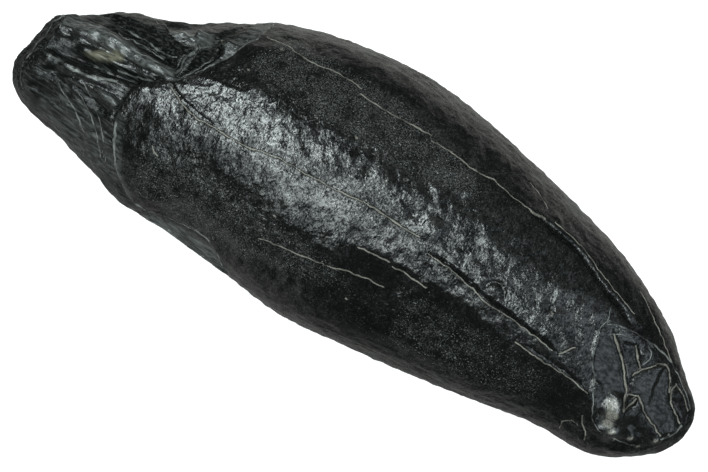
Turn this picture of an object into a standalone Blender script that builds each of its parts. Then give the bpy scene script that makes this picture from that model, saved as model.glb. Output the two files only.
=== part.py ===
"""A fossil sperm whale tooth, one solid lying on its side.

The tooth lies along X, from its broken root at -X to its worn crown at +X, and rests on a
small worn flat at Z 0. Seen from above, +Y is its convex edge. Near the root the outer
cementum has broken away in ledges and leaves the ridged core bare. Fissures run along the
body, and the crown is worn into flat blocks with cracks between them.

Every design value is in millimetres. Places on the surface are given as they are seen from
above, as (x, y), and a route marked as below lies on the underside.
"""

import math

import bmesh
import bpy
import numpy as np
from mathutils import Vector, noise

MM = 0.001

# Driving dimensions
LENGTH = 120.0
HALF_LENGTH = LENGTH / 2
SQUARENESS = 0.035
REST_SINK = 0.8

# The outline at sections along X: x, concave edge y, convex edge y, underside z, top z
SECTIONS = (
    (-58.0, -11.3, 1.0, 10.4, 24.8),
    (-54.0, -13.6, 4.1, 7.8, 27.2),
    (-48.0, -15.0, 7.2, 5.4, 29.4),
    (-42.0, -16.6, 9.6, 3.8, 31.2),
    (-35.0, -19.2, 13.1, 2.2, 33.2),
    (-27.0, -19.4, 17.1, 0.8, 35.0),
    (-18.0, -20.4, 20.1, -0.3, 36.2),
    (-5.0, -22.0, 22.0, -REST_SINK, 37.0),
    (10.0, -20.6, 20.2, -REST_SINK, 36.5),
    (25.0, -19.1, 16.9, 0.4, 34.8),
    (40.0, -16.6, 12.0, 3.8, 31.4),
    (50.0, -15.9, 6.2, 7.8, 27.6),
    (57.0, -11.4, 0.2, 12.2, 22.8),
)
# The two ends: y, z, and how full the end is across and in height
ROOT_END = (-7.2, 17.4, 19.5, 25.0)
CROWN_END = (-4.8, 17.4, 20.0, 16.0)

# Where the broken cementum ends, from the convex edge over the top to the concave edge,
# and back round the underside
BROKEN_EDGE = (
    (-27.0, 18.0),
    (-27.8, 15.5),
    (-28.4, 13.0),
    (-29.6, 10.8),
    (-30.2, 9.0),
    (-31.8, 7.2),
    (-33.2, 5.4),
    (-34.4, 3.4),
    (-35.4, 1.4),
    (-36.8, 0.4),
    (-38.4, -0.5),
    (-39.8, -1.6),
    (-40.7, -3.2),
    (-41.1, -5.2),
    (-40.8, -8.0),
    (-40.0, -10.0),
    (-38.6, -12.2),
    (-37.4, -14.0),
    (-35.4, -15.8),
    (-33.2, -17.4),
    (-30.5, -18.3),
)
BROKEN_EDGE_BELOW = (
    (-31.6, -17.6),
    (-35.6, -13.5),
    (-37.4, -8.5),
    (-35.0, -3.0),
    (-33.0, 2.0),
    (-35.4, 7.0),
    (-34.2, 11.5),
    (-29.6, 15.5),
)
EDGE_DROP = 1.4
EDGE_RISE = 0.8
EDGE_WALL = 1.2
# On the convex side the broken edge is a slope, and the inner layers show on it
EDGE_SLOPE = 2.9
SLOPE_FROM_Y = 2.0

# The middle layer's own ledge, inside the slope
MIDDLE_LEDGE = (
    (-43.2, 9.2),
    (-42.0, 8.5),
    (-39.6, 7.5),
    (-37.4, 7.5),
    (-36.2, 8.3),
    (-36.8, 6.4),
    (-37.3, 4.4),
    (-37.5, 2.9),
    (-36.9, 1.6),
)
MIDDLE_DROP = 1.3

# Ridges and hollows of the bare core: height, half width, route. Hollows are negative.
CORE_RELIEF = (
    (0.8, 1.0, ((-58.0, -0.4), (-50.0, 2.0), (-45.0, 2.3), (-40.0, 2.3), (-37.4, 2.6))),
    (0.4, 1.3, ((-54.0, -0.6), (-50.0, -0.4), (-46.0, 0.2))),
    (-1.2, 1.5, ((-51.0, 6.0), (-46.0, 5.0), (-41.0, 4.9), (-38.2, 5.0))),
    (-1.5, 1.2, ((-59.4, -3.6), (-51.0, -2.8), (-46.0, -2.2), (-42.0, -1.3), (-39.0, -0.2))),
    (0.6, 1.4, ((-56.0, -5.0), (-51.0, -4.8), (-47.0, -4.6), (-43.0, -3.6))),
    (-0.7, 1.1, ((-55.0, -6.8), (-50.0, -7.0), (-46.0, -7.4), (-42.2, -8.0))),
    (0.6, 1.3, ((-52.0, -8.2), (-48.0, -10.2), (-44.0, -12.8), (-40.0, -14.8))),
    (-0.6, 1.1, ((-50.5, -10.6), (-47.0, -12.6), (-43.0, -14.6), (-39.5, -16.0))),
)

# Open fissures: depth, lip beside them (on the convex side, or on the concave side where it
# is negative), route
FISSURES = (
    (0.7, 0.5, ((-36.8, 0.5), (-35.0, -0.2), (-33.0, -1.0), (-30.0, -1.5), (-26.0, -1.7), (-21.0, -1.5))),
    (0.8, -0.3, ((11.0, -1.8), (14.0, -2.0), (17.0, -2.4), (20.0, -3.0), (23.0, -3.5),
                 (26.0, -3.8), (30.0, -4.3), (33.5, -4.8), (36.4, -5.4))),
    (0.9, 0.5, ((20.0, 11.6), (24.0, 10.8), (28.0, 10.1), (31.0, 9.6), (34.0, 8.2),
                (37.0, 6.7), (40.0, 5.6), (43.6, 3.9))),
    (0.4, 0.0, ((30.0, -7.0), (34.0, -7.4), (38.0, -7.6), (42.4, -8.3))),
)
FISSURE_HALF_WIDTH = 0.45
LIP_WIDTH = 2.5

# Cracks between the worn blocks of the crown
CROWN_CRACKS = (
    ((41.8, 1.6), (44.2, -0.3), (46.3, -2.5), (48.2, -5.0), (48.4, -6.6), (48.8, -8.0)),
    ((47.7, -2.8), (49.5, -0.2), (51.2, 1.4), (52.8, 0.5), (54.6, -2.2)),
    ((48.4, -5.6), (50.2, -4.9), (52.5, -6.7), (56.4, -8.6)),
    ((57.4, -2.0), (54.6, -0.2), (54.8, -2.2), (58.0, -5.4)),
    ((44.1, -12.0), (46.0, -14.4), (46.6, -15.4)),
)
CROWN_CRACK_DEPTH = 0.7

# Shallow grooves of the hidden underside
UNDERSIDE_GROOVES = (
    ((-30.0, 4.0), (-18.0, 6.2), (-4.0, 8.8), (12.0, 8.6), (27.0, 6.4), (39.0, 2.0)),
    ((-22.0, -11.5), (-8.0, -12.8), (8.0, -13.0), (22.0, -11.6)),
    ((34.0, -8.5), (43.0, -9.2), (51.0, -8.4)),
)
UNDERSIDE_GROOVE_DEPTH = 0.8
UNDERSIDE_GROOVE_HALF_WIDTH = 1.7

# The round pit on the long fissure
PIT_CENTRE = (22.6, -2.4)
PIT_RADIUS = 1.3
PIT_WALL = 1.0
PIT_DEPTH = 0.9

# Flats worn or broken into the surface: a point seen from above, the flat's outward normal,
# how deep it cuts below the surface there, and the stretch of X that it covers
FLATS = (
    ((-22.0, -18.6), (-0.12, -0.84, 0.53), 0.60, (-30.5, -13.5)),
    ((44.5, -2.0), (0.40, 0.08, 0.91), 0.60, (39.0, 70.0)),
    ((53.5, -3.5), (0.58, 0.10, 0.81), 0.70, (47.5, 70.0)),
    ((52.0, -12.0), (0.50, -0.50, 0.70), 0.60, (44.0, 70.0)),
    ((-58.6, -5.0), (-0.93, 0.23, 0.28), 0.70, (-70.0, -48.0)),
    ((20.0, -12.5), (0.06, -0.50, 0.86), 0.40, (-4.0, 46.0)),
    ((4.0, 12.0), (0.02, 0.50, 0.86), 0.30, (-24.0, 40.0)),
)
FLAT_FADE = 3.0

# Low lumps all over: height, and length across the tooth
SWELLS = (1.0, 10.0)
FACETS = (0.5, 4.5)
CORE_FIBRES = (0.5, 2.4)
CORE_LUMPS = (0.8, 5.5)

# Triangle sides, on plain stretches and beside each kind of feature
COARSE_SIDE = 3.4
CORE_SIDE = 1.8
LEDGE_SIDE = 1.25
FISSURE_SIDE = 1.05
SIDE_GROWTH = 0.55
REFINE_PASSES = 6
SLIVER = 0.12


def smoothstep(share):
    share = np.clip(share, 0.0, 1.0)
    return share * share * (3.0 - 2.0 * share)


def smooth_curve(x, knots, values):
    """A cubic through the values at the knots, read at x."""
    slopes = np.gradient(values, knots)
    i = np.clip(np.searchsorted(knots, x) - 1, 0, len(knots) - 2)
    span = knots[i + 1] - knots[i]
    t = (x - knots[i]) / span
    start = (1.0 + 2.0 * t) * (1.0 - t) ** 2 * values[i] + t * (1.0 - t) ** 2 * span * slopes[i]
    end = t * t * (3.0 - 2.0 * t) * values[i + 1] + t * t * (t - 1.0) * span * slopes[i + 1]
    return start + end


def ring_share(x):
    """How wide a plain ellipse would be at x, as a share of its widest."""
    return np.sqrt(np.clip(1.0 - (x / HALF_LENGTH) ** 2, 1e-9, 1.0))


def section_table():
    """Knots along X, and centre y, centre z, fullness across and fullness in height there."""
    table = np.array(SECTIONS)
    ring = ring_share(table[:, 0])
    between = np.array(
        [
            (table[:, 1] + table[:, 2]) / 2,
            (table[:, 3] + table[:, 4]) / 2,
            (table[:, 2] - table[:, 1]) / 2 / ring,
            (table[:, 4] - table[:, 3]) / 2 / ring,
        ]
    )
    knots = np.concatenate([[-HALF_LENGTH], table[:, 0], [HALF_LENGTH]])
    return knots, np.column_stack([ROOT_END, between, CROWN_END])


KNOTS, SECTION_VALUES = section_table()


def sections_at(x):
    return [smooth_curve(x, KNOTS, values) for values in SECTION_VALUES]


def squared(across, up):
    """How far the section swells at its corners, for a unit direction in the section."""
    return 1.0 + SQUARENESS * (2.0 * across * up) ** 2


def plain_form(directions):
    """The smooth form before any flat or relief: a point for each unit direction."""
    x = HALF_LENGTH * directions[:, 0]
    centre_y, centre_z, full_y, full_z = sections_at(x)
    ring = np.sqrt(np.clip(1.0 - directions[:, 0] ** 2, 1e-9, 1.0))
    swell = squared(directions[:, 1] / ring, directions[:, 2] / ring)
    y = centre_y + full_y * directions[:, 1] * swell
    z = centre_z + full_z * directions[:, 2] * swell
    return np.column_stack([x, y, z])


def directions_at(places, below=False):
    """The unit directions whose points are seen at these (x, y) places."""
    places = np.array(places, float)
    x, y = places[:, 0], places[:, 1]
    centre_y, _, full_y, _ = sections_at(x)
    ring = ring_share(x)
    across = np.clip((y - centre_y) / (full_y * ring), -1.0, 1.0)
    for _ in range(6):
        up = np.sqrt(1.0 - across**2)
        across = np.clip((y - centre_y) / (full_y * ring * squared(across, up)), -1.0, 1.0)
    up = np.sqrt(1.0 - across**2) * (-1.0 if below else 1.0)
    return np.column_stack([x / HALF_LENGTH, ring * across, ring * up])


def press_flats(points):
    """Cuts the worn and broken flats into the form."""
    points = points.copy()
    for place, normal, depth, (first_x, last_x) in FLATS:
        normal = np.array(normal) / np.linalg.norm(normal)
        seat = plain_form(directions_at([place]))[0] - depth * normal
        proud = np.clip((points - seat) @ normal, 0.0, None)
        inside = smoothstep((points[:, 0] - first_x) / FLAT_FADE)
        inside *= smoothstep((last_x - points[:, 0]) / FLAT_FADE)
        points -= (proud * inside)[:, None] * normal
    return points


def form(directions):
    return press_flats(plain_form(directions))


def on_surface(places, below=False):
    return form(directions_at(places, below))


def nearest_on_route(points, route):
    """Each point's distance from the route, and its nearest place, share and heading there."""
    best = np.full(len(points), np.inf)
    share = np.zeros(len(points))
    nearest = np.zeros_like(points)
    heading = np.zeros_like(points)
    lengths = np.linalg.norm(np.diff(route, axis=0), axis=1)
    run = np.concatenate([[0.0], np.cumsum(lengths)])
    for i, (start, end) in enumerate(zip(route[:-1], route[1:])):
        along = end - start
        t = np.clip((points - start) @ along / lengths[i] ** 2, 0.0, 1.0)
        place = start + t[:, None] * along
        distance = np.linalg.norm(points - place, axis=1)
        closer = distance < best
        best[closer] = distance[closer]
        share[closer] = (run[i] + t[closer] * lengths[i]) / run[-1]
        nearest[closer] = place[closer]
        heading[closer] = along / lengths[i]
    return best, nearest, share, heading


def side_of_route(points, normals, nearest, heading):
    """1 for the points left of the route as seen from outside, -1 for those on its right."""
    left = np.cross(normals, heading)
    return np.where(np.sum(left * (points - nearest), axis=1) >= 0.0, 1.0, -1.0)


def faded_ends(share, reach=0.12):
    return smoothstep(share / reach) * smoothstep((1.0 - share) / reach)


def valley(distance, half_width):
    return np.exp(-((distance / half_width) ** 2))


def noise_at(points, height, length, stretch=1.0):
    """Lumps of about this height and length, drawn out along X by the stretch."""
    scaled = points / (length * np.array([stretch, 1.0, 1.0]))
    return height * np.array([noise.noise(Vector(place)) for place in scaled])


def broken_edge_directions():
    top = directions_at(BROKEN_EDGE)
    below = directions_at(BROKEN_EDGE_BELOW, below=True)
    return np.vstack([top, below, top[:1]])


def past_broken_edge(points, directions):
    """The distance past the broken edge, and its nearest place there.

    The distance is positive on the cementum and negative on the bare core.
    """
    edge = broken_edge_directions()
    distance, nearest, _, _ = nearest_on_route(points, form(edge))
    edge_angle = np.arctan2(edge[:-1, 2], edge[:-1, 1])
    angle = np.arctan2(directions[:, 2], directions[:, 1])
    edge_x = np.interp(angle, edge_angle, edge[:-1, 0] * HALF_LENGTH, period=math.tau)
    return np.where(points[:, 0] > edge_x, distance, -distance), nearest


def edge_wall(points):
    """How wide the broken edge's wall is in plan: steep, but a slope on the convex side."""
    slope = smoothstep((points[:, 1] - SLOPE_FROM_Y + 1.0) / 2.0)
    return EDGE_WALL + (EDGE_SLOPE - EDGE_WALL) * slope


def broken_ledge(points, past_edge):
    """The step from the cementum down to the core, which levels out away from the edge."""
    wall = edge_wall(points)
    step = smoothstep(1.0 + past_edge / wall)
    drop = EDGE_DROP * np.exp(-np.clip(-past_edge - wall, 0.0, None) / 9.0)
    rise = EDGE_RISE * np.exp(-np.clip(past_edge, 0.0, None) / 8.0)
    convex_side = smoothstep((points[:, 1] - 11.0) / 5.0)
    return (rise * step - drop * (1.0 - step)) * (1.0 - 0.65 * convex_side)


def middle_ledge(points, normals, on_core):
    """The second step down, from the middle layer to the core."""
    distance, nearest, share, heading = nearest_on_route(points, on_surface(MIDDLE_LEDGE))
    side = side_of_route(points, normals, nearest, heading)
    lower = smoothstep(-side * distance / 1.2)
    reach = valley(distance, 7.0) * faded_ends(share, 0.08)
    return -MIDDLE_DROP * lower * reach * on_core


def core_relief(points, on_core):
    """Ridges, hollows and fibres along the bare core."""
    lift = noise_at(points, *CORE_FIBRES, stretch=4.0) + noise_at(points, *CORE_LUMPS)
    for height, half_width, places in CORE_RELIEF:
        distance, _, share, _ = nearest_on_route(points, on_surface(places))
        lift += height * valley(distance, half_width) * faded_ends(share)
    return lift * on_core


def fissures(points, normals):
    lift = np.zeros(len(points))
    for depth, lip, places in FISSURES:
        distance, nearest, share, heading = nearest_on_route(points, on_surface(places))
        side = side_of_route(points, normals, nearest, heading)
        beside = (side * lip > 0.0) * smoothstep(distance / 0.3) * np.exp(-distance / LIP_WIDTH)
        groove = valley(distance, FISSURE_HALF_WIDTH)
        lift += (abs(lip) * beside - depth * groove) * faded_ends(share)
    return lift


def crown_cracks(points):
    lift = np.zeros(len(points))
    for places in CROWN_CRACKS:
        distance, _, share, _ = nearest_on_route(points, on_surface(places))
        groove = valley(distance, FISSURE_HALF_WIDTH) * faded_ends(share, 0.06)
        lift = np.minimum(lift, -CROWN_CRACK_DEPTH * groove)
    return lift


def underside_grooves(points):
    lift = np.zeros(len(points))
    for places in UNDERSIDE_GROOVES:
        distance, _, share, _ = nearest_on_route(points, on_surface(places, below=True))
        lift -= UNDERSIDE_GROOVE_DEPTH * valley(distance, UNDERSIDE_GROOVE_HALF_WIDTH) * faded_ends(share)
    return lift


def round_pit(points):
    distance = np.linalg.norm(points - on_surface([PIT_CENTRE])[0], axis=1)
    return -PIT_DEPTH * smoothstep((PIT_RADIUS + PIT_WALL - distance) / PIT_WALL)


def relief(points, normals, directions):
    """How far each point of the form moves along its normal."""
    past_edge, _ = past_broken_edge(points, directions)
    on_core = smoothstep(-past_edge / 1.5)
    lift = noise_at(points, *SWELLS, stretch=2.0) + noise_at(points, *FACETS, stretch=4.0)
    lift += broken_ledge(points, past_edge)
    lift += middle_ledge(points, normals, on_core)
    lift += core_relief(points, on_core)
    lift += fissures(points, normals)
    lift += crown_cracks(points)
    lift += underside_grooves(points)
    return lift + round_pit(points)


def crack_routes():
    return [on_surface(places) for *_, places in FISSURES] + [on_surface(places) for places in CROWN_CRACKS]


def wanted_side(points):
    """How long a triangle's side may be at each point."""
    kinds = (
        (LEDGE_SIDE, [form(broken_edge_directions()), on_surface(MIDDLE_LEDGE)]),
        (CORE_SIDE, [on_surface(places) for _, _, places in CORE_RELIEF]),
        (FISSURE_SIDE, crack_routes()),
    )
    side = np.full(len(points), COARSE_SIDE)
    for fine_side, routes in kinds:
        for route in routes:
            distance, _, _, _ = nearest_on_route(points, route)
            grown = fine_side + SIDE_GROWTH * np.clip(distance - fine_side, 0.0, None)
            side = np.minimum(side, grown)
    pit = np.linalg.norm(points - on_surface([PIT_CENTRE])[0], axis=1) - PIT_RADIUS - PIT_WALL
    return np.minimum(side, FISSURE_SIDE + SIDE_GROWTH * np.clip(pit, 0.0, None))


def vertex_points(bm):
    return np.array([vertex.co for vertex in bm.verts])


def unit_directions(bm):
    directions = vertex_points(bm)
    return directions / np.linalg.norm(directions, axis=1)[:, None]


def place_vertices(bm, points):
    for vertex, point in zip(bm.verts, points):
        vertex.co = point


def split_long_edges(bm):
    """One round of splitting the edges that are too long once laid over the form."""
    points = form(unit_directions(bm))
    ends = np.array([[vertex.index for vertex in edge.verts] for edge in bm.edges])
    starts, stops = points[ends[:, 0]], points[ends[:, 1]]
    lengths = np.linalg.norm(stops - starts, axis=1)
    too_long = np.nonzero(lengths > 1.35 * wanted_side((starts + stops) / 2))[0]
    bm.edges.ensure_lookup_table()
    bmesh.ops.subdivide_edges(bm, edges=[bm.edges[i] for i in too_long], cuts=1)
    bmesh.ops.triangulate(bm, faces=[face for face in bm.faces if len(face.verts) > 3])
    bm.verts.index_update()


def sphere_for_form():
    """A unit sphere whose triangles are the wanted size once laid over the form."""
    bm = bmesh.new()
    bmesh.ops.create_icosphere(bm, subdivisions=4, radius=1.0)
    for _ in range(REFINE_PASSES):
        split_long_edges(bm)
        place_vertices(bm, unit_directions(bm))
    return bm


def move_unfolded(bm, moved, places):
    """Moves these vertices, except where that would fold a triangle or leave a sliver."""
    bm.verts.ensure_lookup_table()
    bm.normal_update()
    outward = {face: face.normal.copy() for face in bm.faces}
    for i in np.nonzero(moved)[0]:
        vertex = bm.verts[i]
        before = vertex.co.copy()
        vertex.co = places[i]
        for face in vertex.link_faces:
            face.normal_update()
            if face.normal.dot(outward[face]) < 0.8 or face.calc_area() < SLIVER:
                vertex.co = before
                break


def gather_on_cracks(bm):
    """Brings the vertices beside a crack onto its line, so that the line comes out clean."""
    for route in crack_routes():
        points = vertex_points(bm)
        distance, nearest, _, _ = nearest_on_route(points, route)
        move_unfolded(bm, distance < 0.5 * FISSURE_SIDE, nearest)


def gather_on_ledge(bm, directions):
    """Brings the vertices beside the broken edge onto its brink and onto its foot."""
    points = vertex_points(bm)
    past_edge, nearest = past_broken_edge(points, directions)
    wall = edge_wall(points)
    brink = np.abs(past_edge) < 0.5 * LEDGE_SIDE
    foot = (np.abs(past_edge + wall) < 0.5 * LEDGE_SIDE) & ~brink
    to_foot = wall / np.maximum(-past_edge, 0.1)
    move_unfolded(bm, brink, nearest)
    move_unfolded(bm, foot, nearest + to_foot[:, None] * (points - nearest))


def shape_tooth():
    """The tooth's surface as a bmesh, in metres, resting on Z 0."""
    bm = sphere_for_form()
    directions = unit_directions(bm)
    place_vertices(bm, form(directions))
    bmesh.ops.beautify_fill(bm, faces=bm.faces, edges=bm.edges)
    gather_on_ledge(bm, directions)
    gather_on_cracks(bm)
    bmesh.ops.beautify_fill(bm, faces=bm.faces, edges=bm.edges)
    bm.normal_update()
    points = vertex_points(bm)
    normals = np.array([vertex.normal for vertex in bm.verts])
    points = points + relief(points, normals, directions)[:, None] * normals
    points[:, 2] = np.clip(points[:, 2], 0.0, None)
    middle = (points.min(axis=0) + points.max(axis=0)) / 2
    points[:, :2] -= middle[:2]
    place_vertices(bm, points * MM)
    return bm


def tooth_material():
    material = bpy.data.materials.new("fossil_tooth")
    material.use_nodes = True
    shader = material.node_tree.nodes["Principled BSDF"]
    shader.inputs["Base Color"].default_value = (0.012, 0.013, 0.013, 1.0)
    shader.inputs["Roughness"].default_value = 0.38
    shader.inputs["Metallic"].default_value = 0.0
    return material


def build_tooth():
    bm = shape_tooth()
    mesh = bpy.data.meshes.new("tooth")
    bm.to_mesh(mesh)
    bm.free()
    mesh.shade_smooth()
    mesh.materials.append(tooth_material())
    tooth = bpy.data.objects.new("tooth", mesh)
    bpy.context.scene.collection.objects.link(tooth)


def main():
    for old in list(bpy.data.objects):
        bpy.data.objects.remove(old)
    build_tooth()


main()
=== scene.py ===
"""The looks of a fossil sperm whale tooth that lies on a pale floor, seen from straight above.

The skin is a fine mesh that takes the place of the plain solid. It has the solid's own outline,
flats and broken ledges, and adds the smaller fibres, lumps, blocks and cracks. One procedural
material gives the colour, the sheen and the finest grain. It reads how far each point is from
the cracks, and which layer it is on, from attributes of the mesh.

Design values are in millimetres. Places on the surface are given as they are seen from above,
as (x, y): +X runs from the broken root to the worn crown, and +Y towards the convex edge.
"""

import math

import bmesh
import bpy
import numpy as np
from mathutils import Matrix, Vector, noise


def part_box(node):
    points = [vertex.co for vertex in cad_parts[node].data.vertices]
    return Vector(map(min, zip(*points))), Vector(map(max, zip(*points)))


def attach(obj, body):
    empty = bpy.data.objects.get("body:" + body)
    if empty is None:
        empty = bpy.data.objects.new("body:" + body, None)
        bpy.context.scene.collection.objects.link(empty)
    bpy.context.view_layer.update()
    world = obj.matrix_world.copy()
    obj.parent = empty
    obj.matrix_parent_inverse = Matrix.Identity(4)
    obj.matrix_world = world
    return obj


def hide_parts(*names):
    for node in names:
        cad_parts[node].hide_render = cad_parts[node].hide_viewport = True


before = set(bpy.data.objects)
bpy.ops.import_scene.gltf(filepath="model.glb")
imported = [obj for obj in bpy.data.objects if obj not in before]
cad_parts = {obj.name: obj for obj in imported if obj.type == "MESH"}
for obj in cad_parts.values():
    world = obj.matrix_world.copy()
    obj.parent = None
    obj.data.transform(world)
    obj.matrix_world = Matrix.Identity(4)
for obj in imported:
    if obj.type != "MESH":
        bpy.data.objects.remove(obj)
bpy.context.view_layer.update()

MM = 0.001

# The form
HALF_LENGTH = 60.0
SQUARENESS = 0.035
SWELL_ROUNDS = 6
REST_SINK = 0.8
TINY = 1e-9

# The outline at sections along X: x, concave edge y, convex edge y, underside z, top z
SECTIONS = (
    (-58.0, -11.3, 1.0, 10.4, 24.8),
    (-54.0, -13.6, 4.1, 7.8, 27.2),
    (-48.0, -15.0, 7.2, 5.4, 29.4),
    (-42.0, -16.6, 9.6, 3.8, 31.2),
    (-35.0, -19.2, 13.1, 2.2, 33.2),
    (-27.0, -19.4, 17.1, 0.8, 35.0),
    (-18.0, -20.4, 20.1, -0.3, 36.2),
    (-5.0, -22.0, 22.0, -REST_SINK, 37.0),
    (10.0, -20.6, 20.2, -REST_SINK, 36.5),
    (25.0, -19.1, 16.9, 0.4, 34.8),
    (40.0, -16.6, 12.0, 3.8, 31.4),
    (50.0, -15.9, 6.2, 7.8, 27.6),
    (57.0, -11.4, 0.2, 12.2, 22.8),
)
# The two ends: y, z, and how full the end is across and in height
ROOT_END = (-7.2, 17.4, 19.5, 25.0)
CROWN_END = (-4.8, 17.4, 20.0, 16.0)

# Flats worn or broken into the surface: a point seen from above, the flat's outward normal,
# how deep it cuts below the surface there, and the stretch of X that it covers
FLATS = (
    ((-22, -18.6), (-0.12, -0.84, 0.53), 0.6, (-30.5, -13.5)),
    ((44.5, -2), (0.4, 0.08, 0.91), 0.6, (39, 70)),
    ((53.5, -3.5), (0.58, 0.1, 0.81), 0.7, (47.5, 70)),
    ((52, -12), (0.5, -0.5, 0.7), 0.6, (44, 70)),
    ((-58.6, -5), (-0.93, 0.23, 0.28), 0.7, (-70, -48)),
    ((22, -10.8), (0.07, -0.46, 0.88), 0.65, (-2, 48)),
    ((-55, 2.7), (-0.57, 0.82, 0.0), 0.0, (-70, -46)),
    ((4, 12), (0.02, 0.5, 0.86), 0.3, (-24, 40)),
)
FLAT_FADE = 3.0

# Where the broken cementum ends, over the top and back round the underside
BROKEN_EDGE = (
    (-27, 18), (-27.8, 15.5), (-28.4, 13), (-29.6, 10.8), (-30.2, 9), (-31.8, 7.2), (-33.2, 5.4),
    (-34.4, 3.4), (-35.4, 1.4), (-36.8, 0.4), (-38.4, -0.5), (-39.8, -1.6), (-40.7, -3.2), (-41.1, -5.2),
    (-40.8, -8), (-40, -10), (-38.6, -12.2), (-37.4, -14), (-35.4, -15.8), (-33.2, -17.4), (-30.5, -18.3),
)
BROKEN_EDGE_BELOW = (
    (-31.6, -17.6), (-35.6, -13.5), (-37.4, -8.5), (-35, -3), (-33, 2), (-35.4, 7), (-34.2, 11.5),
    (-29.6, 15.5),
)
EDGE_DROP = 1.4
EDGE_RISE = 0.8
EDGE_WALL = 0.9
EDGE_SLOPE = 1.0
SLOPE_FROM_Y = 2.0
SLOPE_BLEND = 2.0
# How the step levels out away from the edge, and how much it loses on the two flanks
CORE_LEVELS_OUT = 9.0
CEMENTUM_LEVELS_OUT = 8.0
CONVEX_FLANK_Y = 11.0
CONVEX_FLANK_BLEND = 5.0
CONVEX_FLANK_LOSS = 0.85
CONCAVE_FLANK_Y = -14.0
CONCAVE_FLANK_BLEND = 4.0
CONCAVE_FLANK_LOSS = 0.9

# Smaller ledges: drop, width of the wall, how far the low side stays low, and the brink's route.
# The surface falls away on the route's right, as it is seen from above.
LEDGES = (
    (1.2, 0.6, 7.0, ((-36.9, 1.6), (-37.5, 2.9), (-37.3, 4.4), (-36.8, 6.4), (-36.2, 8.3), (-37.4, 7.5),
        (-39.6, 7.5), (-42, 8.5), (-43.2, 9.2))),
    (0.8, 0.6, 2.0, ((-33, 11.8), (-32.7, 9.6), (-33.3, 7.2), (-34.9, 4.4), (-36.6, 1.9))),
    (0.8, 0.4, 2.5, ((-37.4, 3.4), (-42, 3.3), (-47, 3.5), (-51, 3.3), (-53.6, 2.7))),
    (0.6, 0.4, 2.0, ((-57.4, -1), (-52, 0.5), (-47, 1.2), (-42, 1.3), (-37.8, 1.8))),
    (0.5, 0.3, 1.5, ((-52.6, -1.9), (-50, -1.4), (-46, -0.7), (-43, -0.3), (-39, 0.2))),
    (0.9, 0.5, 2.0, ((-40.5, -1.8), (-43, -2.5), (-46, -3.3), (-50, -3.9), (-55, -4.3), (-58, -4.6))),
    (0.7, 0.4, 2.2, ((-52, 5.2), (-48, 6.6), (-44, 7.3), (-41, 7.2), (-39, 7))),
    (0.3, 0.3, 1.2, ((-49, 5.7), (-45, 5.9), (-41, 5.6), (-38, 5.4))),
    (0.3, 0.3, 1.2, ((-49, 4.6), (-45, 4.9), (-41, 4.8), (-38.2, 4.4))),
    (0.4, 0.4, 2.0, ((-51, -7.4), (-47, -8.6), (-44, -10.5), (-41, -13.2), (-39, -15.2))),
    (0.4, 0.4, 2.0, ((-56.4, -9.6), (-50, -10.4), (-46, -13), (-42.5, -15.4))),
    (0.5, 0.4, 2.5, ((-41.4, -6.4), (-44, -5.6), (-47, -5.9), (-50.4, -6.4), (-54, -7.4))),
    (0.5, 0.5, 2.0, ((-56, 1.9), (-57.5, -0.6), (-58.1, -4), (-58, -7.4), (-56.4, -9.8))),
    (0.4, 0.5, 2.5, ((-30, -18.2), (-26, -17.8), (-22, -17.5), (-18.5, -18.1), (-16.5, -19.2),
        (-14, -20.6))),
    (0.3, 0.4, 2.0, ((39.6, 1.4), (40, -0.8), (40.8, -3.2), (42.2, -5.2), (43.4, -6.8))),
    (0.3, 0.3, 2.0, ((48, -4.6), (47.9, -3), (48.6, -1.3), (49.6, 0.1), (50.4, 1.3))),
)
# How much of a line's length its relief takes to fade out at either end
END_FADE = 0.12
LEDGE_END_FADE = 0.1

# Ridges and hollows of the bare core: height, half width, route. Hollows are negative.
CORE_RELIEF = (
    (0.5, 1.0, ((-57, -0.2), (-50, 2.1), (-45, 2.3), (-40, 2.3), (-37.4, 2.6))),
    (-0.8, 1.4, ((-51, 5.4), (-46, 5.2), (-41, 5.2), (-38.2, 4.8))),
    (-1.1, 1.0, ((-59.4, -3.4), (-51, -2.8), (-46, -2.2), (-42, -1.4), (-39, -0.5))),
    (0.5, 1.2, ((-56, -5.2), (-51, -5), (-47, -4.6), (-43, -3.8))),
    (-0.4, 0.9, ((-55, -7), (-50, -7.3), (-46, -7.8), (-42.2, -8.6))),
)
CORE_RELIEF_REACH = 5.0
# Below this y the core's fibres slant
LOBE_SLANT = math.radians(38.0)
LOBE_FROM_Y = -3.5
LOBE_BLEND = 3.0

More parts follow.
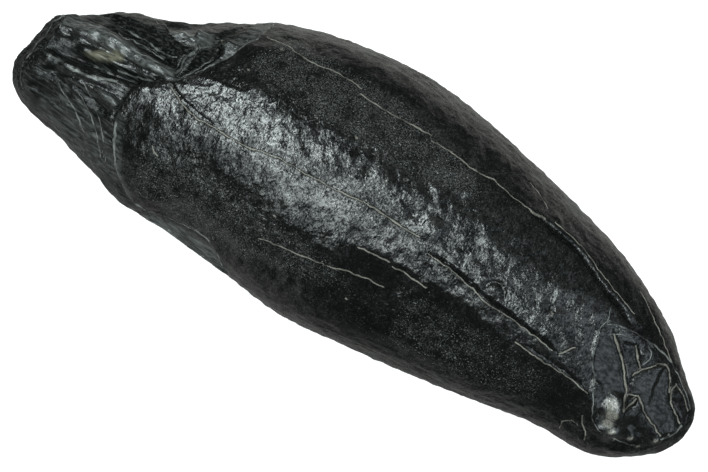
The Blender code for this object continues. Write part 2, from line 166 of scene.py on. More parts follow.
# Hairline cracks, which are filled with pale sediment: half width, route
HAIRLINES = (
    (0.12, ((-36.5, 0.4), (-35, -0.2), (-34, -0.7), (-32, -1.6), (-30, -1.9), (-26, -1.9), (-21.5, -1.9),
        (-18.5, -1.3), (-16, -0.9), (-10, -0.9), (-6, -0.7), (0, -0.2), (6, -0.6), (9, -0.6))),
    (0.12, ((-27.5, 14.3), (-24, 14.8), (-20, 14.4), (-17, 14.9), (-15, 15.2), (-10.4, 15))),
    (0.11, ((-10.4, 14.2), (-8, 14), (-5, 14), (0, 14.1), (2.6, 14))),
    (0.11, ((2.4, 13.5), (6, 13.2), (8, 13), (10, 12.5), (14, 12.7), (18, 11.8), (24, 11.2))),
    (0.11, ((-13, -13), (-8.5, -12.5), (-3, -11.8), (1, -11.2), (5, -10.6), (8, -10.4))),
    (0.12, ((1, -6.7), (3, -6.5), (6.5, -6.3))),
    (0.13, ((7, -6.7), (10, -6.8), (13.5, -7))),
    (0.11, ((29, -7.1), (32, -7.5), (36, -7.7), (40, -7.9), (43, -8.6))),
    (0.12, ((-34, -9), (-33.2, -9.7), (-32.3, -9.9))),
    (0.12, ((19, 15.5), (21, 14.8), (22.5, 13.8), (23.6, 13))),
    (0.12, ((42, 9), (46, 6.3), (50, 3.5), (52, 2))),
    (0.12, ((36, -5.4), (36.8, -4.4), (37.7, -3.3))),
    (0.1, ((10.5, -2.2), (14, -2.4), (17, -2.8), (19.5, -3.4), (21.5, -4.1), (24, -4.2), (27, -4.4),
        (31, -4.9), (35, -5.5))),
    (0.1, ((25, 11.6), (28, 11), (31, 10.4), (34, 9.1), (37, 7.8), (40, 6.6), (43, 5.4))),
)

# Open fissures: depth, half width, lip beside them (on the convex side, or on the concave side
# where it is negative), route
FISSURES = (
    (0.06, 0.14, 0.2, ((-36.4, 0.9), (-35, 0.3), (-33, -0.5), (-30, -1.1), (-27, -1.3))),
    (0.35, 0.22, -0.3, ((10.5, -1.8), (14, -2), (17, -2.4), (20, -3), (23, -3.6), (26, -3.8), (30, -4.4),
        (33.5, -4.8), (36.4, -5.4))),
    (0.6, 0.36, 0.5, ((20, 11.6), (24, 10.8), (28, 10.1), (31, 9.6), (34, 8.2), (37, 6.7), (40, 5.6),
        (43.6, 3.9))),
    (0.2, 0.22, 0.0, ((30.5, -6.6), (34, -7), (38, -7.2), (42, -7.9))),
)
LIP_WIDTH = 2.5
LIP_RISE = 0.3
FISSURE_REACH = 12.0
# How wide a fissure's dark line is, as a share of its groove
FISSURE_DARK = 0.6

# Cracks between the worn blocks of the crown, with pale fill: half width, route
CROWN_CRACKS = (
    (0.18, ((41.8, 1.6), (43, 0.7), (44.2, -0.3), (45, -0.9), (46.3, -2.5), (47.3, -3.8), (48.2, -5),
        (48.4, -6.4), (48.8, -8))),
    (0.13, ((45.7, 1.7), (47.4, -0.1), (48.6, -1.2))),
    (0.15, ((47.8, -2.8), (48.7, -1.2), (49.5, -0.3), (50.4, 1.1), (51.5, 1.4), (52.6, 0.8), (53.3, -0.3),
        (54.5, -2.2))),
    (0.14, ((48.4, -5.5), (50.2, -4.9), (51, -5.5), (53, -7), (56.4, -8.6))),
    (0.14, ((48.8, -8), (49.5, -7), (50.2, -5.4))),
    (0.14, ((58.4, -3.2), (56.5, -1.2), (54.6, -0.2), (54.5, -1.4), (55.5, -3.2), (58.3, -5.5))),
    (0.13, ((44, -12), (44.7, -13.2), (45.8, -14.2), (46.4, -15.1))),
    (0.11, ((44.5, -13.8), (43, -13.7), (42, -14.5), (42, -15.5))),
)
CROWN_CRACK_DEPTH = 0.3
CROWN_CRACK_GROOVE = 1.5
CROWN_CRACK_END_FADE = 0.06
CROWN_CRACK_REACH = 3.0

# Brinks and fibres drawn pale, partly for wear and partly as painted highlights along lit edges, with one
# painted glint chain: half width, route
BRINK_WEAR_AND_HIGHLIGHTS = (
    (0.14, ((-35.6, 1.6), (-34.4, 3.4), (-33, 5.4), (-31.6, 7.3), (-30.2, 9), (-29.5, 11), (-28.3, 13.2),
        (-27.8, 15.5), (-27, 18.2))),
    (0.1, ((-36.6, 1.8), (-35.2, 4), (-33.6, 6.6), (-32.4, 8.6), (-31.4, 10.4), (-30.2, 12.6),
        (-28.2, 17))),
    (0.1, ((-36.9, 2), (-35.6, 4.6), (-34.4, 7), (-33.4, 9.4), (-33, 11.5))),
    (0.1, ((-37.4, 3), (-37.1, 4.3), (-36.8, 6.2), (-36.2, 8), (-35.4, 9.8), (-34.8, 10.4))),
    (0.18, ((-42, 8.6), (-41, 8.3), (-39.5, 7.6), (-38, 7.4), (-36.5, 7.8), (-36.2, 8.4))),
    (0.18, ((-42.2, 9), (-39.5, 9.6), (-37, 10.4), (-35, 11), (-33.2, 11.7), (-32.8, 11))),
    (0.12, ((-54, 2.2), (-50, 2.9), (-46, 2.7), (-42, 2.8), (-38, 3.1))),
    (0.12, ((-45.5, -1.3), (-42.5, -0.7), (-40, 0), (-37.6, 0.4), (-35.6, 0.6))),
    (0.22, ((-40.8, -7), (-40.2, -9), (-39, -11.5), (-37.6, -13.6), (-35.8, -15.6), (-34.2, -17),
        (-32.6, -17.8), (-30, -18))),
    (0.2, ((-56.2, 2), (-58.1, 0.2), (-58.7, -3), (-58.9, -6.5), (-58, -9.8), (-56.6, -11.4))),
    (0.1, ((-50.5, -6.2), (-47.5, -8.4), (-45, -10.6), (-42.6, -13), (-40.5, -15.2))),
    (0.1, ((-52, -8), (-48, -10.5), (-44.5, -13.2))),
    (0.1, ((-49, -5.6), (-45.8, -8), (-43.4, -10.4), (-41.4, -12.8), (-39.4, -15.4))),
    (0.22, ((-55.5, -5), (-53.5, -4.7), (-51.5, -5), (-49, -4.8), (-47, -4.4), (-45.5, -3.6), (-44, -3))),
    (0.16, ((-30, -18.1), (-26, -17.8), (-22, -17.5), (-19.5, -17.8), (-17.5, -18.9), (-15.5, -20.2))),
    (0.1, ((-49, 5.6), (-45, 5.8), (-41, 5.6), (-38, 5.3))),
    (0.1, ((-48, 4.5), (-44, 4.9), (-40, 4.7))),
    (0.12, ((-52, 6), (-49, 7.4), (-46, 8.1), (-43, 8.2))),
    (0.14, ((40, 0.2), (40.3, -1.6), (41, -3.6), (42.2, -5.4), (43.2, -6.8))),
    (0.25, ((58.6, -5.4), (58.3, -6.6), (57.4, -8), (56.6, -9.2))),
    (0.08, ((39.6, 1.2), (39.9, 2.8), (39.4, 4.6))),
    (0.09, ((40.2, 2.2), (42, 3), (44.2, 3.2), (46.5, 3.1))),
    (0.08, ((41, 0.9), (42.6, 1.9), (44.4, 2.4), (45.6, 1.9))),
    (0.1, ((47.2, 2.4), (48.3, 1.8), (48.7, 0.8), (48.2, -0.4))),
    (0.08, ((41.3, -4), (42.8, -6.8), (44.2, -9), (45.6, -11.4))),
    (0.09, ((44.8, -10.8), (46.6, -12.4), (48.8, -13), (50.4, -12.8), (52.6, -12.6), (53.8, -12))),
    (0.14, ((44.6, 3.2), (48, 2.9), (51, 2.4), (54, 1), (56.4, -0.6), (58.6, -2.8))),
)

# Grooves of the hidden underside
UNDERSIDE_GROOVES = (
    ((-30, 4), (-18, 6.2), (-4, 8.8), (12, 8.6), (27, 6.4), (39, 2)),
    ((-22, -11.5), (-8, -12.8), (8, -13), (22, -11.6)),
    ((34, -8.5), (43, -9.2), (51, -8.4)),
)
UNDERSIDE_GROOVE_DEPTH = 0.8
UNDERSIDE_GROOVE_HALF_WIDTH = 1.7
UNDERSIDE_GROOVE_REACH = 8.0

# Worn or broken planes: lift at the middle, outward normal, width of the soft border, how smooth
# the plane is, and its outline seen from above
PATCHES = (
    (-0.15, (0.4, 0.06, 0.92), 1.0, 0.9, ((40.3, 0), (41.8, 1.5), (43.2, 0.6), (45, -0.9), (46.4, -2.8),
        (47.8, -4.8), (48.2, -6.5), (46.5, -6.8), (44.5, -6.6), (42.8, -6), (41.6, -4.4), (40.6, -2.4))),
    (0.0, (0.3, 0.16, 0.92), 0.8, 0.6, ((43.6, 0.9), (45.6, 1.7), (47.3, 0.2), (48.5, -1.1), (47.8, -2.6),
        (46.6, -2.6), (45, -0.7))),
    (0.25, (0.32, 0.0, 0.92), 0.6, 0.7, ((48.6, -1.4), (50, 0.5), (51, 1.3), (51.5, -1), (51.5, -5.9),
        (50.4, -5), (48.6, -4.4), (47.9, -3))),
    (0.2, (0.6, 0.1, 0.8), 0.8, 0.9, ((51.2, 1.3), (52.6, 0.8), (53.4, -0.5), (54.4, -2.3), (55.6, -3.4),
        (57.6, -5.3), (56.8, -7.6), (54.6, -7.6), (52, -6.2), (51.5, -3))),
    (-0.05, (0.5, 0.35, 0.78), 0.6, 0.7, ((54.8, -0.3), (56.4, -1.2), (58.2, -3.2), (58.2, -5), (56.4, -4),
        (55, -2.6))),
    (-0.1, (0.55, -0.3, 0.78), 1.0, 0.5, ((50.2, -5.3), (52, -6.6), (54.4, -8.1), (56, -9.2), (55, -11),
        (52, -11), (50.2, -8.5))),
    (-0.5, (0.4, 0.0, 0.92), 0.5, 0.5, ((48.5, -5.8), (50, -5.3), (49.4, -7), (48.8, -7.8))),
    (0.05, (-0.08, -0.17, 0.98), 2.0, 0.3, ((45.2, -6.6), (47.6, -6.6), (48.8, -8.4), (49, -10.2),
        (46.8, -10.2), (45.2, -8.8))),
    (0.05, (-0.07, -0.19, 0.98), 2.0, 0.3, ((46, -10.2), (49.2, -10), (50.8, -11.8), (49, -13.2),
        (46.4, -12.4))),
    (0.0, (0.12, -0.02, 0.99), 1.2, 0.1, ((31.4, -1.8), (31.9, 0.2), (33.6, 0.3), (34.2, -1.2),
        (33, -2.2))),
    (0.0, (-0.04, 0.03, 0.99), 1.6, 0.0, ((6.4, 0), (6.8, 2.4), (9, 3.2), (11.4, 1.8), (10.8, 0),
        (8.4, -0.3))),
    (-0.6, (-0.17, 0.28, 0.94), 0.4, 0.8, ((-36.6, 2), (-35, 4.6), (-33.5, 7.2), (-32.8, 9.6), (-33, 12),
        (-30.4, 12.6), (-30.6, 10.6), (-31.2, 8.8), (-32.8, 6.6), (-34.6, 4), (-35.8, 2))),
    (-1.1, (-0.5, 0.25, 0.83), 0.4, 0.8, ((-37.2, 3), (-36.9, 5.6), (-36, 8.4), (-34.8, 10.2),
        (-33.5, 11.2), (-33.3, 9.6), (-34, 7.4), (-35.4, 4.8), (-36.6, 2.8))),
    (0.1, (-0.16, 0.34, 0.92), 0.6, 0.4, ((-41.8, 8.7), (-39.8, 9.6), (-37, 10.3), (-34.4, 11),
        (-35.4, 9.6), (-36.4, 8.3), (-37.6, 7.7), (-39.6, 7.8), (-41.2, 8.3))),
    (0.0, (-0.14, -0.1, 0.98), 0.6, 0.7, ((-46.4, -5.7), (-44, -5.6), (-41.9, -6.2), (-42.1, -7),
        (-44.2, -6.9))),
    (0.0, (-0.12, -0.82, 0.56), 0.6, 0.8, ((-29.5, -18.3), (-26, -17.9), (-22, -17.6), (-18, -18.2),
        (-16.5, -19.3), (-14.5, -20.8), (-20, -21.5), (-28.5, -20.5))),
)
# Spots that are worn smooth and keep their shape
SMOOTH_SPOTS = (
    (1.0, ((38, -9), (42, -9), (43.5, -11.5), (42, -13.5), (38, -14), (36.5, -11.5))),
    (1.0, ((1.5, -7.2), (5, -7), (8.5, -7.4), (8, -9.6), (4, -10.2), (1.5, -9.2))),
    (1.0, ((6, -15.2), (12, -15), (13, -17.5), (10, -19), (5, -18.6))),
)

# The round pit on the long fissure, with the boss in it
PIT_CENTRE = (22.6, -2.4)
PIT_RADIUS = 1.7
PIT_WALL = 0.35
PIT_DEPTH = 0.45
PIT_OPENING = 0.6

# Single lumps and pits: height, radius, place
BUMPS = (
    (0.35, 1.6, (10, 14.8)), (0.3, 0.8, (7.8, 10.5)), (0.25, 0.8, (7, 7)),
    (0.2, 0.6, (8, 6)), (0.3, 1.4, (8.4, 1.2)), (-0.4, 0.7, (5.7, 2)),
    (0.25, 0.8, (11.5, 8.7)), (0.3, 0.7, (32.3, -1)), (-0.3, 0.5, (31.5, 0)),
    (0.2, 1.3, (-25, 6)), (0.25, 0.7, (3, 15.5)), (0.3, 0.8, (25.5, 12.3)),
    (0.3, 0.6, (47.5, 1)), (0.45, 0.6, (56, -9.6)), (0.5, 0.7, (52.6, -11.4)),
    (0.35, 0.6, (54.2, -11.8)), (-0.4, 0.8, (53.3, -10.2)), (-0.4, 0.7, (54.9, -10.7)),
    (-0.35, 0.9, (51.4, -9.4)), (-0.3, 0.7, (51, -12.6)), (0.3, 1.0, (58, -6.5)),
    (0.7, 1.8, (48.9, -8.6)), (0.5, 1.5, (49.6, -11.6)), (0.35, 0.8, (-55, -5)),
    (0.3, 0.8, (-52, -4.7)), (0.35, 0.9, (-48, -4.8)), (0.3, 0.8, (-46, -4.4)),
    (0.25, 0.5, (-44.3, -14.5)), (0.4, 0.9, (-39.6, -2.2)), (0.35, 0.8, (-37.6, -1.4)),
    (0.35, 0.8, (-34, 1.6)), (0.3, 0.7, (-41.2, 8.8)), (0.3, 0.7, (-39.4, 9.6)),
    (0.3, 0.8, (-37, 10.4)), (0.3, 0.7, (-33.4, 11.6)),
)

# Pale satin zones seen from above, partly paler broken faces and core and partly painted sheen and painted
# highlights (the two at the crown tip are painted highlights): how pale, outline
PALE_AND_HIGHLIGHT_ZONES = (
    (0.9, ((45.8, -7.2), (47.6, -7), (48.3, -8.6), (47.6, -9.6), (46.2, -9.2))),
    (0.6, ((46.6, -10.4), (48.8, -10.2), (50, -11.4), (48.6, -12.2), (47, -11.8))),
    (0.9, ((-56.6, 0), (-50, 1.2), (-45, 1.3), (-40, 1.4), (-37.2, 2), (-37.2, 3.2), (-41, 3.1), (-46, 3.2),
        (-50, 3), (-55.4, 2.2))),
    (0.5, ((-37.6, 1.6), (-36.4, 1.2), (-35.2, 2), (-33.6, 4.6), (-31.9, 7.2), (-30.3, 9.2), (-29.4, 11.2),
        (-28.4, 13.2), (-27.2, 17.8), (-29, 16.6), (-31.2, 13.6), (-32.8, 11.6), (-32.6, 9.4), (-33.6, 6.8),
        (-35, 4.6))),
    (0.6, ((-41.8, 8.7), (-39.8, 9.7), (-37, 10.5), (-34.2, 11.2), (-35.2, 9.6), (-36.2, 8.3), (-37.6, 7.7),
        (-39.6, 7.8), (-41.2, 8.3))),
    (0.3, ((-50, -9.5), (-47, -9), (-44, -10.5), (-41, -12.5), (-38.5, -14.5), (-36.5, -16.5), (-41, -16.5),
        (-46, -15.3), (-52, -13.6), (-53, -11))),
    (0.8, ((-46.4, -5.6), (-44, -5.5), (-41.8, -6.1), (-42, -7.1), (-44.2, -6.9))),
    (0.5, ((-40.8, -7), (-39.9, -7.4), (-37.6, -12), (-35.4, -15.2), (-33, -17), (-33.6, -17.8),
        (-36.6, -15.4), (-38.8, -12.2))),
    (0.8, ((-29.5, -18.3), (-26, -17.9), (-22, -17.6), (-18, -18.2), (-16.5, -19.3), (-14, -21), (-20, -23),
        (-31, -22))),
)

# Small pale spots, partly chips and partly painted glints on the crown's tip and lumps: radius, place
PALE_CHIPS_AND_GLINTS = (
    (1.3, (46.9, -8.2)), (1.15, (47.8, -9.4)), (1.1, (48, -11)),
    (0.8, (49.3, -11.8)), (0.65, (52.5, -11.4)), (0.5, (54.3, -11.8)),
    (0.5, (56, -9.6)), (0.3, (50.6, -13)), (0.5, (-24.2, 13.9)),
    (0.3, (-27, 8.4)), (0.35, (-7.6, 7.8)), (0.25, (-12.4, -9)),
    (0.3, (3.4, -14.8)), (0.3, (25.6, 12.4)), (0.35, (31.8, -0.6)),
    (0.4, (58.2, -6.4)), (0.35, (57.3, -7.8)), (0.3, (-41, 8.6)),
    (0.3, (-33.6, 11.5)), (0.3, (-54.6, -4.9)), (0.3, (-51.6, -4.8)),
)

# Where the core is tan: how much, outline
TAN_ZONES = (
    (0.8, ((-50.8, -1.4), (-49.2, -0.1), (-47, 1), (-45.2, 1.3), (-45.2, 0.2), (-47.4, -0.9),
        (-49.4, -1.6))),
)

# Where the skin is worn to a higher shine, where it is duller, and where pale dust lies on it
SHINY_ZONES = (
    (1.0, ((-56.6, 0), (-53, 3.4), (-47, 3.4), (-47, 1), (-53, 0.2))),
    (0.9, ((32, -0.6), (32.6, 4.2), (39, 4.4), (40, 0.4), (36, -1))),
    (0.7, ((48.4, -3.6), (49.2, -0.6), (50.8, 1), (51.2, -1.4), (51.2, -4.6))),
    (1.0, ((-34.4, 2), (-33, 4), (-29, 4.4), (-24, 4), (-19, 4.2), (-15, 3.2), (-16, -0.2), (-24, -0.8),
        (-33, -0.2))),
    (0.8, ((-20, -1.6), (-14, -1.2), (-9, -1.6), (-4, -2.4), (-5.6, -5.4), (-10, -6.6), (-16, -5.4),
        (-19.6, -4))),
    (0.8, ((-40.6, -2.4), (-39, -1.2), (-36.6, -1.2), (-36, -2.4), (-38.2, -3.2), (-40.2, -4.4))),
    (0.9, ((6, 0.4), (6.6, 2.4), (8.8, 3), (10.6, 2.2), (10.4, 0.4))),
    (0.6, ((6.4, 5.6), (6.6, 9), (8.2, 11), (9, 8), (8.6, 5.4))),
    (1.0, ((45.6, -7), (47.6, -6.8), (48.4, -8.6), (47.6, -9.8), (46, -9.4))),
    (1.0, ((46.4, -10.2), (49, -9.8), (50.2, -11.4), (49, -12.6), (46.8, -12))),
)
DULL_ZONES = (
    (0.5, ((-40.4, -4.8), (-36, -3.2), (-32, -2.6), (-22, -3), (-19, -5.8), (-12, -8), (-4, -7.4),
        (0, -5.6), (8, -7), (8, -12), (-20, -14), (-38, -12))),
    (0.6, ((8, -6.6), (20, -6.4), (30, -7.2), (42, -8.8), (45, -13), (40, -17), (10, -21), (-4, -21),
        (0, -12))),
    (0.35, ((-30, 9), (-20, 8), (-12, 8), (0, 8), (5, 8), (5.6, 12), (0, 16), (-26, 14))),
    (0.6, ((-29, 6.6), (-22, 5.4), (-14, 4.4), (-4, 3.4), (5, 3.4), (5.4, 8.5), (-6, 9.5), (-28, 10))),
    (0.4, ((12.5, 4.6), (30, 4.4), (38, 5), (30, 9), (20, 12), (12, 12.5))),
    (0.5, ((-8, 1), (-9, 4.2), (5.4, 4.2), (5.4, -1.5), (-3, -1))),
    (0.4, ((-20, -6), (-12, -6.8), (-4, -6), (0, -4), (0, -8), (-12, -9), (-20, -8))),
    (1.0, ((-42.4, -4.2), (-38, -4), (-35, -4.8), (-34.8, -9), (-37, -12), (-42, -9))),
    (1.0, ((-37, 3.2), (-35.8, 2.6), (-34.6, 5), (-33.6, 8), (-34, 10.4), (-35.6, 9), (-36.6, 6.4))),
    (0.6, ((-58, -5.8), (-50, -6), (-42.4, -7.4), (-41.4, -9), (-44, -12), (-54, -13), (-58, -10))),
    (0.8, ((-48, -7.2), (-44.6, -7.4), (-41.6, -8), (-41.6, -10.4), (-45, -10.6))),
    (0.9, ((-51, 3.6), (-38.2, 3.6), (-38.6, 6.8), (-50, 7))),
    (0.7, ((-58, -0.8), (-50, -1), (-42, -0.4), (-41, -2), (-48, -3.8), (-58, -4.4))),
    (0.8, ((-38.4, 3.6), (-36.6, 3), (-35.8, 6.6), (-36.4, 8), (-37.8, 7.2))),
    (0.3, ((-34.4, 8.6), (-32, 7.6), (-30.6, 10), (-30.8, 12.8), (-33.6, 12.6))),
    (0.7, ((44, 2.8), (52, 2.6), (53, 4.6), (45, 8))),
)
DUSTY_ZONES = (
    (0.6, ((-35, -8.4), (-30, -7.4), (-18, -8.4), (-8, -10), (0, -11), (4, -13), (-4, -15.4), (-14, -16.6),
        (-24, -17.4), (-34, -15.4))),
    (0.45, ((10, -8.6), (24, -8.2), (37, -9.2), (36, -14), (22, -16.6), (12, -17.4))),
    (0.7, ((-28, 9), (-16, 7.5), (0, 7), (5, 7), (14, 8), (12, 12), (-4, 16), (-24, 17))),
)
ZONE_SOFTNESS = 0.9
BROAD_SOFTNESS = 2.4
# The zones and planes belong to the side that is seen, and the flanks are where it turns down
SEEN_TILT = 0.2
SEEN_BLEND = 0.3
FLANK_TILT = 0.62
FLANK_BLEND = 0.35

# Low lumps all over: height, length across the tooth, and how far they are drawn out along it
SWELLS = (0.5, 10.0, 2.0)
FACETS = (0.2, 4.5, 4.0)
CORE_FIBRES = (0.25, 2.4, 4.0)
CORE_LUMPS = (0.24, 4.5, 1.0)
CORE_KNOBS = (0.18, 1.2, 1.6)
CORE_STRANDS = (0.15, 0.9, 7.0)
RIPPLES = (0.17, 2.0, 0.7)
PEBBLES = (0.06, 0.9, 1.0)
WORN_GRAIN_LOSS = 0.8
CORE_GRAIN_LOSS = 0.6
# How far lines and edges stray: height and length of the noise, and its step from axis to axis
WOBBLE = (0.22, 1.1)
WOBBLE_OFFSET = 17.0

# Triangle sides: on the seen side, on the hidden side, and beside cracks and ledges
TOP_SIDE = 0.455
UNDER_SIDE = 1.3
CRACK_SIDE = 0.27
CRACK_MARGIN = 0.3
SIDE_GROWTH = 0.5
GATHER_REACH = 2.0
HIDDEN_HEIGHT = 15.0
HIDDEN_BLEND = 8.0
SPHERE_SUBDIVISIONS = 5
REFINE_PASSES = 6
SPLIT_OVER = 1.35

# How far from a crack the mesh knows of it, the distance given elsewhere, and how its ends fade
CRACK_REACH = 0.9
CRACK_FAR = 9.0
CRACK_END_SHARE = 0.3
CRACK_END_FADE = 0.03

# Patterns in the stone: length in millimetres, fine detail, how far they are drawn out each way
PATTERNS = {
    "coarse": (9.0, 3.0),
    "blotches": (3.2, 3.0),
    "middle": (2.0, 5.0),
    "lumps": (1.1, 2.0, (0.8, 1.2, 1.0)),
    "combed": (1.0, 5.0, (10.0, 1.0, 1.0)),
    "streaks": (0.5, 4.0, (3.0, 1.0, 1.0)),
    "strands": (0.4, 4.0, (12.0, 1.0, 1.0)),
    "strokes": (0.36, 3.0, (0.8, 1.3, 1.0)),
    "sparks": (0.26, 1.0),
    "fine": (0.2, 2.0),
}
NOISE_ROUGHNESS = 0.55
GRAIN_SIZE = 0.42
GRAIN_SMOOTHNESS = 0.6

# Colours, from the darkest to the palest where a place has two
BLACK = ((0.002, 0.0025, 0.0025), (0.006, 0.0065, 0.006))
DUST = (0.075, 0.080, 0.076)
SPECK = (0.20, 0.21, 0.20)
COMBED_GREY = (0.042, 0.044, 0.039)
BARE_CORE = ((0.004, 0.005, 0.0045), (0.036, 0.04, 0.038))
# Greys of the pale zones: partly the core's own paler colour, partly painted sheen and highlight
PALE_AND_SHEEN_GREYS = ((0.016, 0.019, 0.018), (0.11, 0.12, 0.115))
TAN = (0.21, 0.203, 0.145)
# Sediment colour of the filled cracks, also used for the painted glints of the chips
SEDIMENT_AND_GLINT = ((0.065, 0.062, 0.052), (0.33, 0.32, 0.275))
# Grey of the pale brink lines: partly wear, partly painted highlight
BRINK_WEAR_AND_HIGHLIGHT_GREY = (0.18, 0.19, 0.18)

# How a pattern or zone is taken to a share: from low, from high, and to low and high if not 0 and 1
LINE_EDGE = (1.1, 1.9, 1.0, 0.0)
LINE_END = (0.4, 0.5)
CHIP_AND_GLINT_EDGE = (0.35, 0.75)
SPECKLE = (0.55, 0.72)
DRIFT = (0.38, 0.66)
DUST_SHARE = (0.0, 1.0, 0.4, 1.0)
SPECKS = (0.66, 0.76)
SPECK_SHARE = (0.0, 0.5, 0.15, 0.9)
COMBED_LINES = (0.48, 0.66)
CORE_STREAKS = (0.48, 0.68)
PALE_STREAKS = (0.35, 0.65)
TAN_STREAKS = (0.35, 0.6, 0.35, 1.0)
BRINK_BREAKS = (0.38, 0.62, 0.08, 1.0)
CRACK_BREAKS = (0.25, 0.6, 0.35, 1.0)
CHIP_AND_GLINT_BREAKS = (0.3, 0.6)
# How much more a dusty zone speckles and drifts
DUSTY_SPECKLE = 0.12
DUSTY_DRIFT = 0.14

# Roughness by the middle pattern, and polish by each pattern or zone, in the same form
ROUGHNESS = (0.3, 0.7, 0.17, 0.28)
PATCHY_POLISH = {
    "strokes": (0.3, 0.7, 0.1, 1.0),
    "lumps": (0.25, 0.75, 0.6, 1.35),
    "blotches": (0.32, 0.68, 0.55, 1.45),
    "sparks": (0.48, 0.7, 0.8, 1.9),
}
STREAK_POLISH = (0.35, 0.68, 0.22, 0.9)
SHINY_POLISH = (0.0, 1.0, 1.0, 1.6)
DULL_POLISH = (0.0, 1.0, 1.0, 0.3)
FISSURE_POLISH = (0.0, 1.0, 1.0, 0.04)
POLISH_BESIDE_CRACK = (1.8, 3.2, 0.4, 1.0)
CHIP_AND_GLINT_POLISH = 0.95
CORE_SMOOTHNESS = 0.6

# Heights of the finest relief, in millimetres, and what is left of it on worn planes and the core
GRAIN_HEIGHT = -0.022
STROKE_HEIGHT = 0.045
LUMP_HEIGHT = 0.15
FINE_HEIGHT = 0.014
STRAND_HEIGHT = 0.11
COMBED_HEIGHT = 0.22
FILLED_CRACK_HEIGHT = -0.06
WORN_RELIEF = (0.0, 1.0, 1.0, 0.25)
BARE_CORE_RELIEF = (0.0, 1.0, 1.0, 0.35)

# The floor: its side in metres, its grey, and the light of its own
FLOOR_SIDE = 8.0
FLOOR_GREY = 0.8
FLOOR_GLOW = 0.65
FLOOR_ROUGHNESS = 0.9

# The picture's turn in plan, the place under its middle, and the width that it takes in
PICTURE_TURN = math.radians(30.0)
PICTURE_MIDDLE = (-0.37, -5.45)
PICTURE_WIDTH = 110.6
PICTURE_HEIGHT_LEVEL = 18.0
LENS = 300.0
SENSOR = 36.0
CAMERA_SIGHT = 20.0

# Soft lights of the studio dome: direction, half angle and soft edge in degrees, brightness, colour
ROOM_LIGHT = 0.07
DOME_LIGHTS = (
    ((-0.10, -0.15, 1.0), 23.0, 9.0, 0.95, (0.92, 1.02, 1.02)),
    ((-0.15, -0.35, 1.0), 8.0, 7.5, 3.4, (0.92, 1.02, 1.02)),
    ((-0.15, -0.03, 1.0), 8.0, 7.5, 2.3, (0.92, 1.02, 1.02)),
    ((-0.38, 0.20, 1.0), 8.5, 5.0, 14.0, (0.92, 1.02, 1.02)),
    ((0.18, -0.06, 1.0), 7.0, 4.0, 9.0, (0.92, 1.02, 1.02)),
    ((-0.6, -1.0, 0.10), 26.0, 12.0, 0.35, (1.0, 1.02, 1.0)),
    ((1.0, 0.0, 0.60), 26.0, 14.0, 1.05, (0.86, 0.98, 1.06)),
    ((0.0, 1.0, 1.0), 24.0, 14.0, 0.30, (0.96, 1.0, 1.0)),
    ((0.0, 0.8, -1.0), 32.0, 16.0, 0.34, (1.0, 1.02, 0.95)),
    ((0.0, -0.8, -1.0), 32.0, 16.0, 0.16, (1.0, 1.02, 0.98)),
)


def smoothstep(share):
    share = np.clip(share, 0.0, 1.0)
    return share * share * (3.0 - 2.0 * share)


def smooth_curve(x, knots, values):
    """A cubic through the values at the knots, read at x."""
    slopes = np.gradient(values, knots)
    i = np.clip(np.searchsorted(knots, x) - 1, 0, len(knots) - 2)
    span = knots[i + 1] - knots[i]
    t = (x - knots[i]) / span
    start = (1.0 + 2.0 * t) * (1.0 - t) ** 2 * values[i] + t * (1.0 - t) ** 2 * span * slopes[i]
    end = t * t * (3.0 - 2.0 * t) * values[i + 1] + t * t * (t - 1.0) * span * slopes[i + 1]
    return start + end


def ring_share(x):
    """How wide a plain ellipse would be at x, as a share of its widest."""
    return np.sqrt(np.clip(1.0 - (x / HALF_LENGTH) ** 2, TINY, 1.0))


def section_table():
    """Knots along X, and centre y, centre z, fullness across and fullness in height there."""
    table = np.array(SECTIONS)
    ring = ring_share(table[:, 0])
    between = np.array(
        [
            (table[:, 1] + table[:, 2]) / 2,
            (table[:, 3] + table[:, 4]) / 2,
            (table[:, 2] - table[:, 1]) / 2 / ring,
            (table[:, 4] - table[:, 3]) / 2 / ring,
        ]
    )
    knots = np.concatenate([[-HALF_LENGTH], table[:, 0], [HALF_LENGTH]])
    return knots, np.column_stack([ROOT_END, between, CROWN_END])


KNOTS, SECTION_VALUES = section_table()


def sections_at(x):
    return [smooth_curve(x, KNOTS, values) for values in SECTION_VALUES]


def squared(across, up):
    """How far the section swells at its corners, for a unit direction in the section."""
    return 1.0 + SQUARENESS * (2.0 * across * up) ** 2


def plain_form(directions):
    """The smooth form before any flat or relief: a point for each unit direction."""
    x = HALF_LENGTH * directions[:, 0]
    centre_y, centre_z, full_y, full_z = sections_at(x)
    ring = np.sqrt(np.clip(1.0 - directions[:, 0] ** 2, TINY, 1.0))
    swell = squared(directions[:, 1] / ring, directions[:, 2] / ring)
    y = centre_y + full_y * directions[:, 1] * swell
    z = centre_z + full_z * directions[:, 2] * swell
    return np.column_stack([x, y, z])


def directions_at(places, below=False):
    """The unit directions whose points are seen at these (x, y) places."""
    places = np.array(places, float)
    x, y = places[:, 0], places[:, 1]
    centre_y, _, full_y, _ = sections_at(x)
    ring = ring_share(x)
    across = np.clip((y - centre_y) / (full_y * ring), -1.0, 1.0)
    for _ in range(SWELL_ROUNDS):
        up = np.sqrt(1.0 - across**2)
        across = np.clip((y - centre_y) / (full_y * ring * squared(across, up)), -1.0, 1.0)
    up = np.sqrt(1.0 - across**2) * (-1.0 if below else 1.0)
    return np.column_stack([x / HALF_LENGTH, ring * across, ring * up])


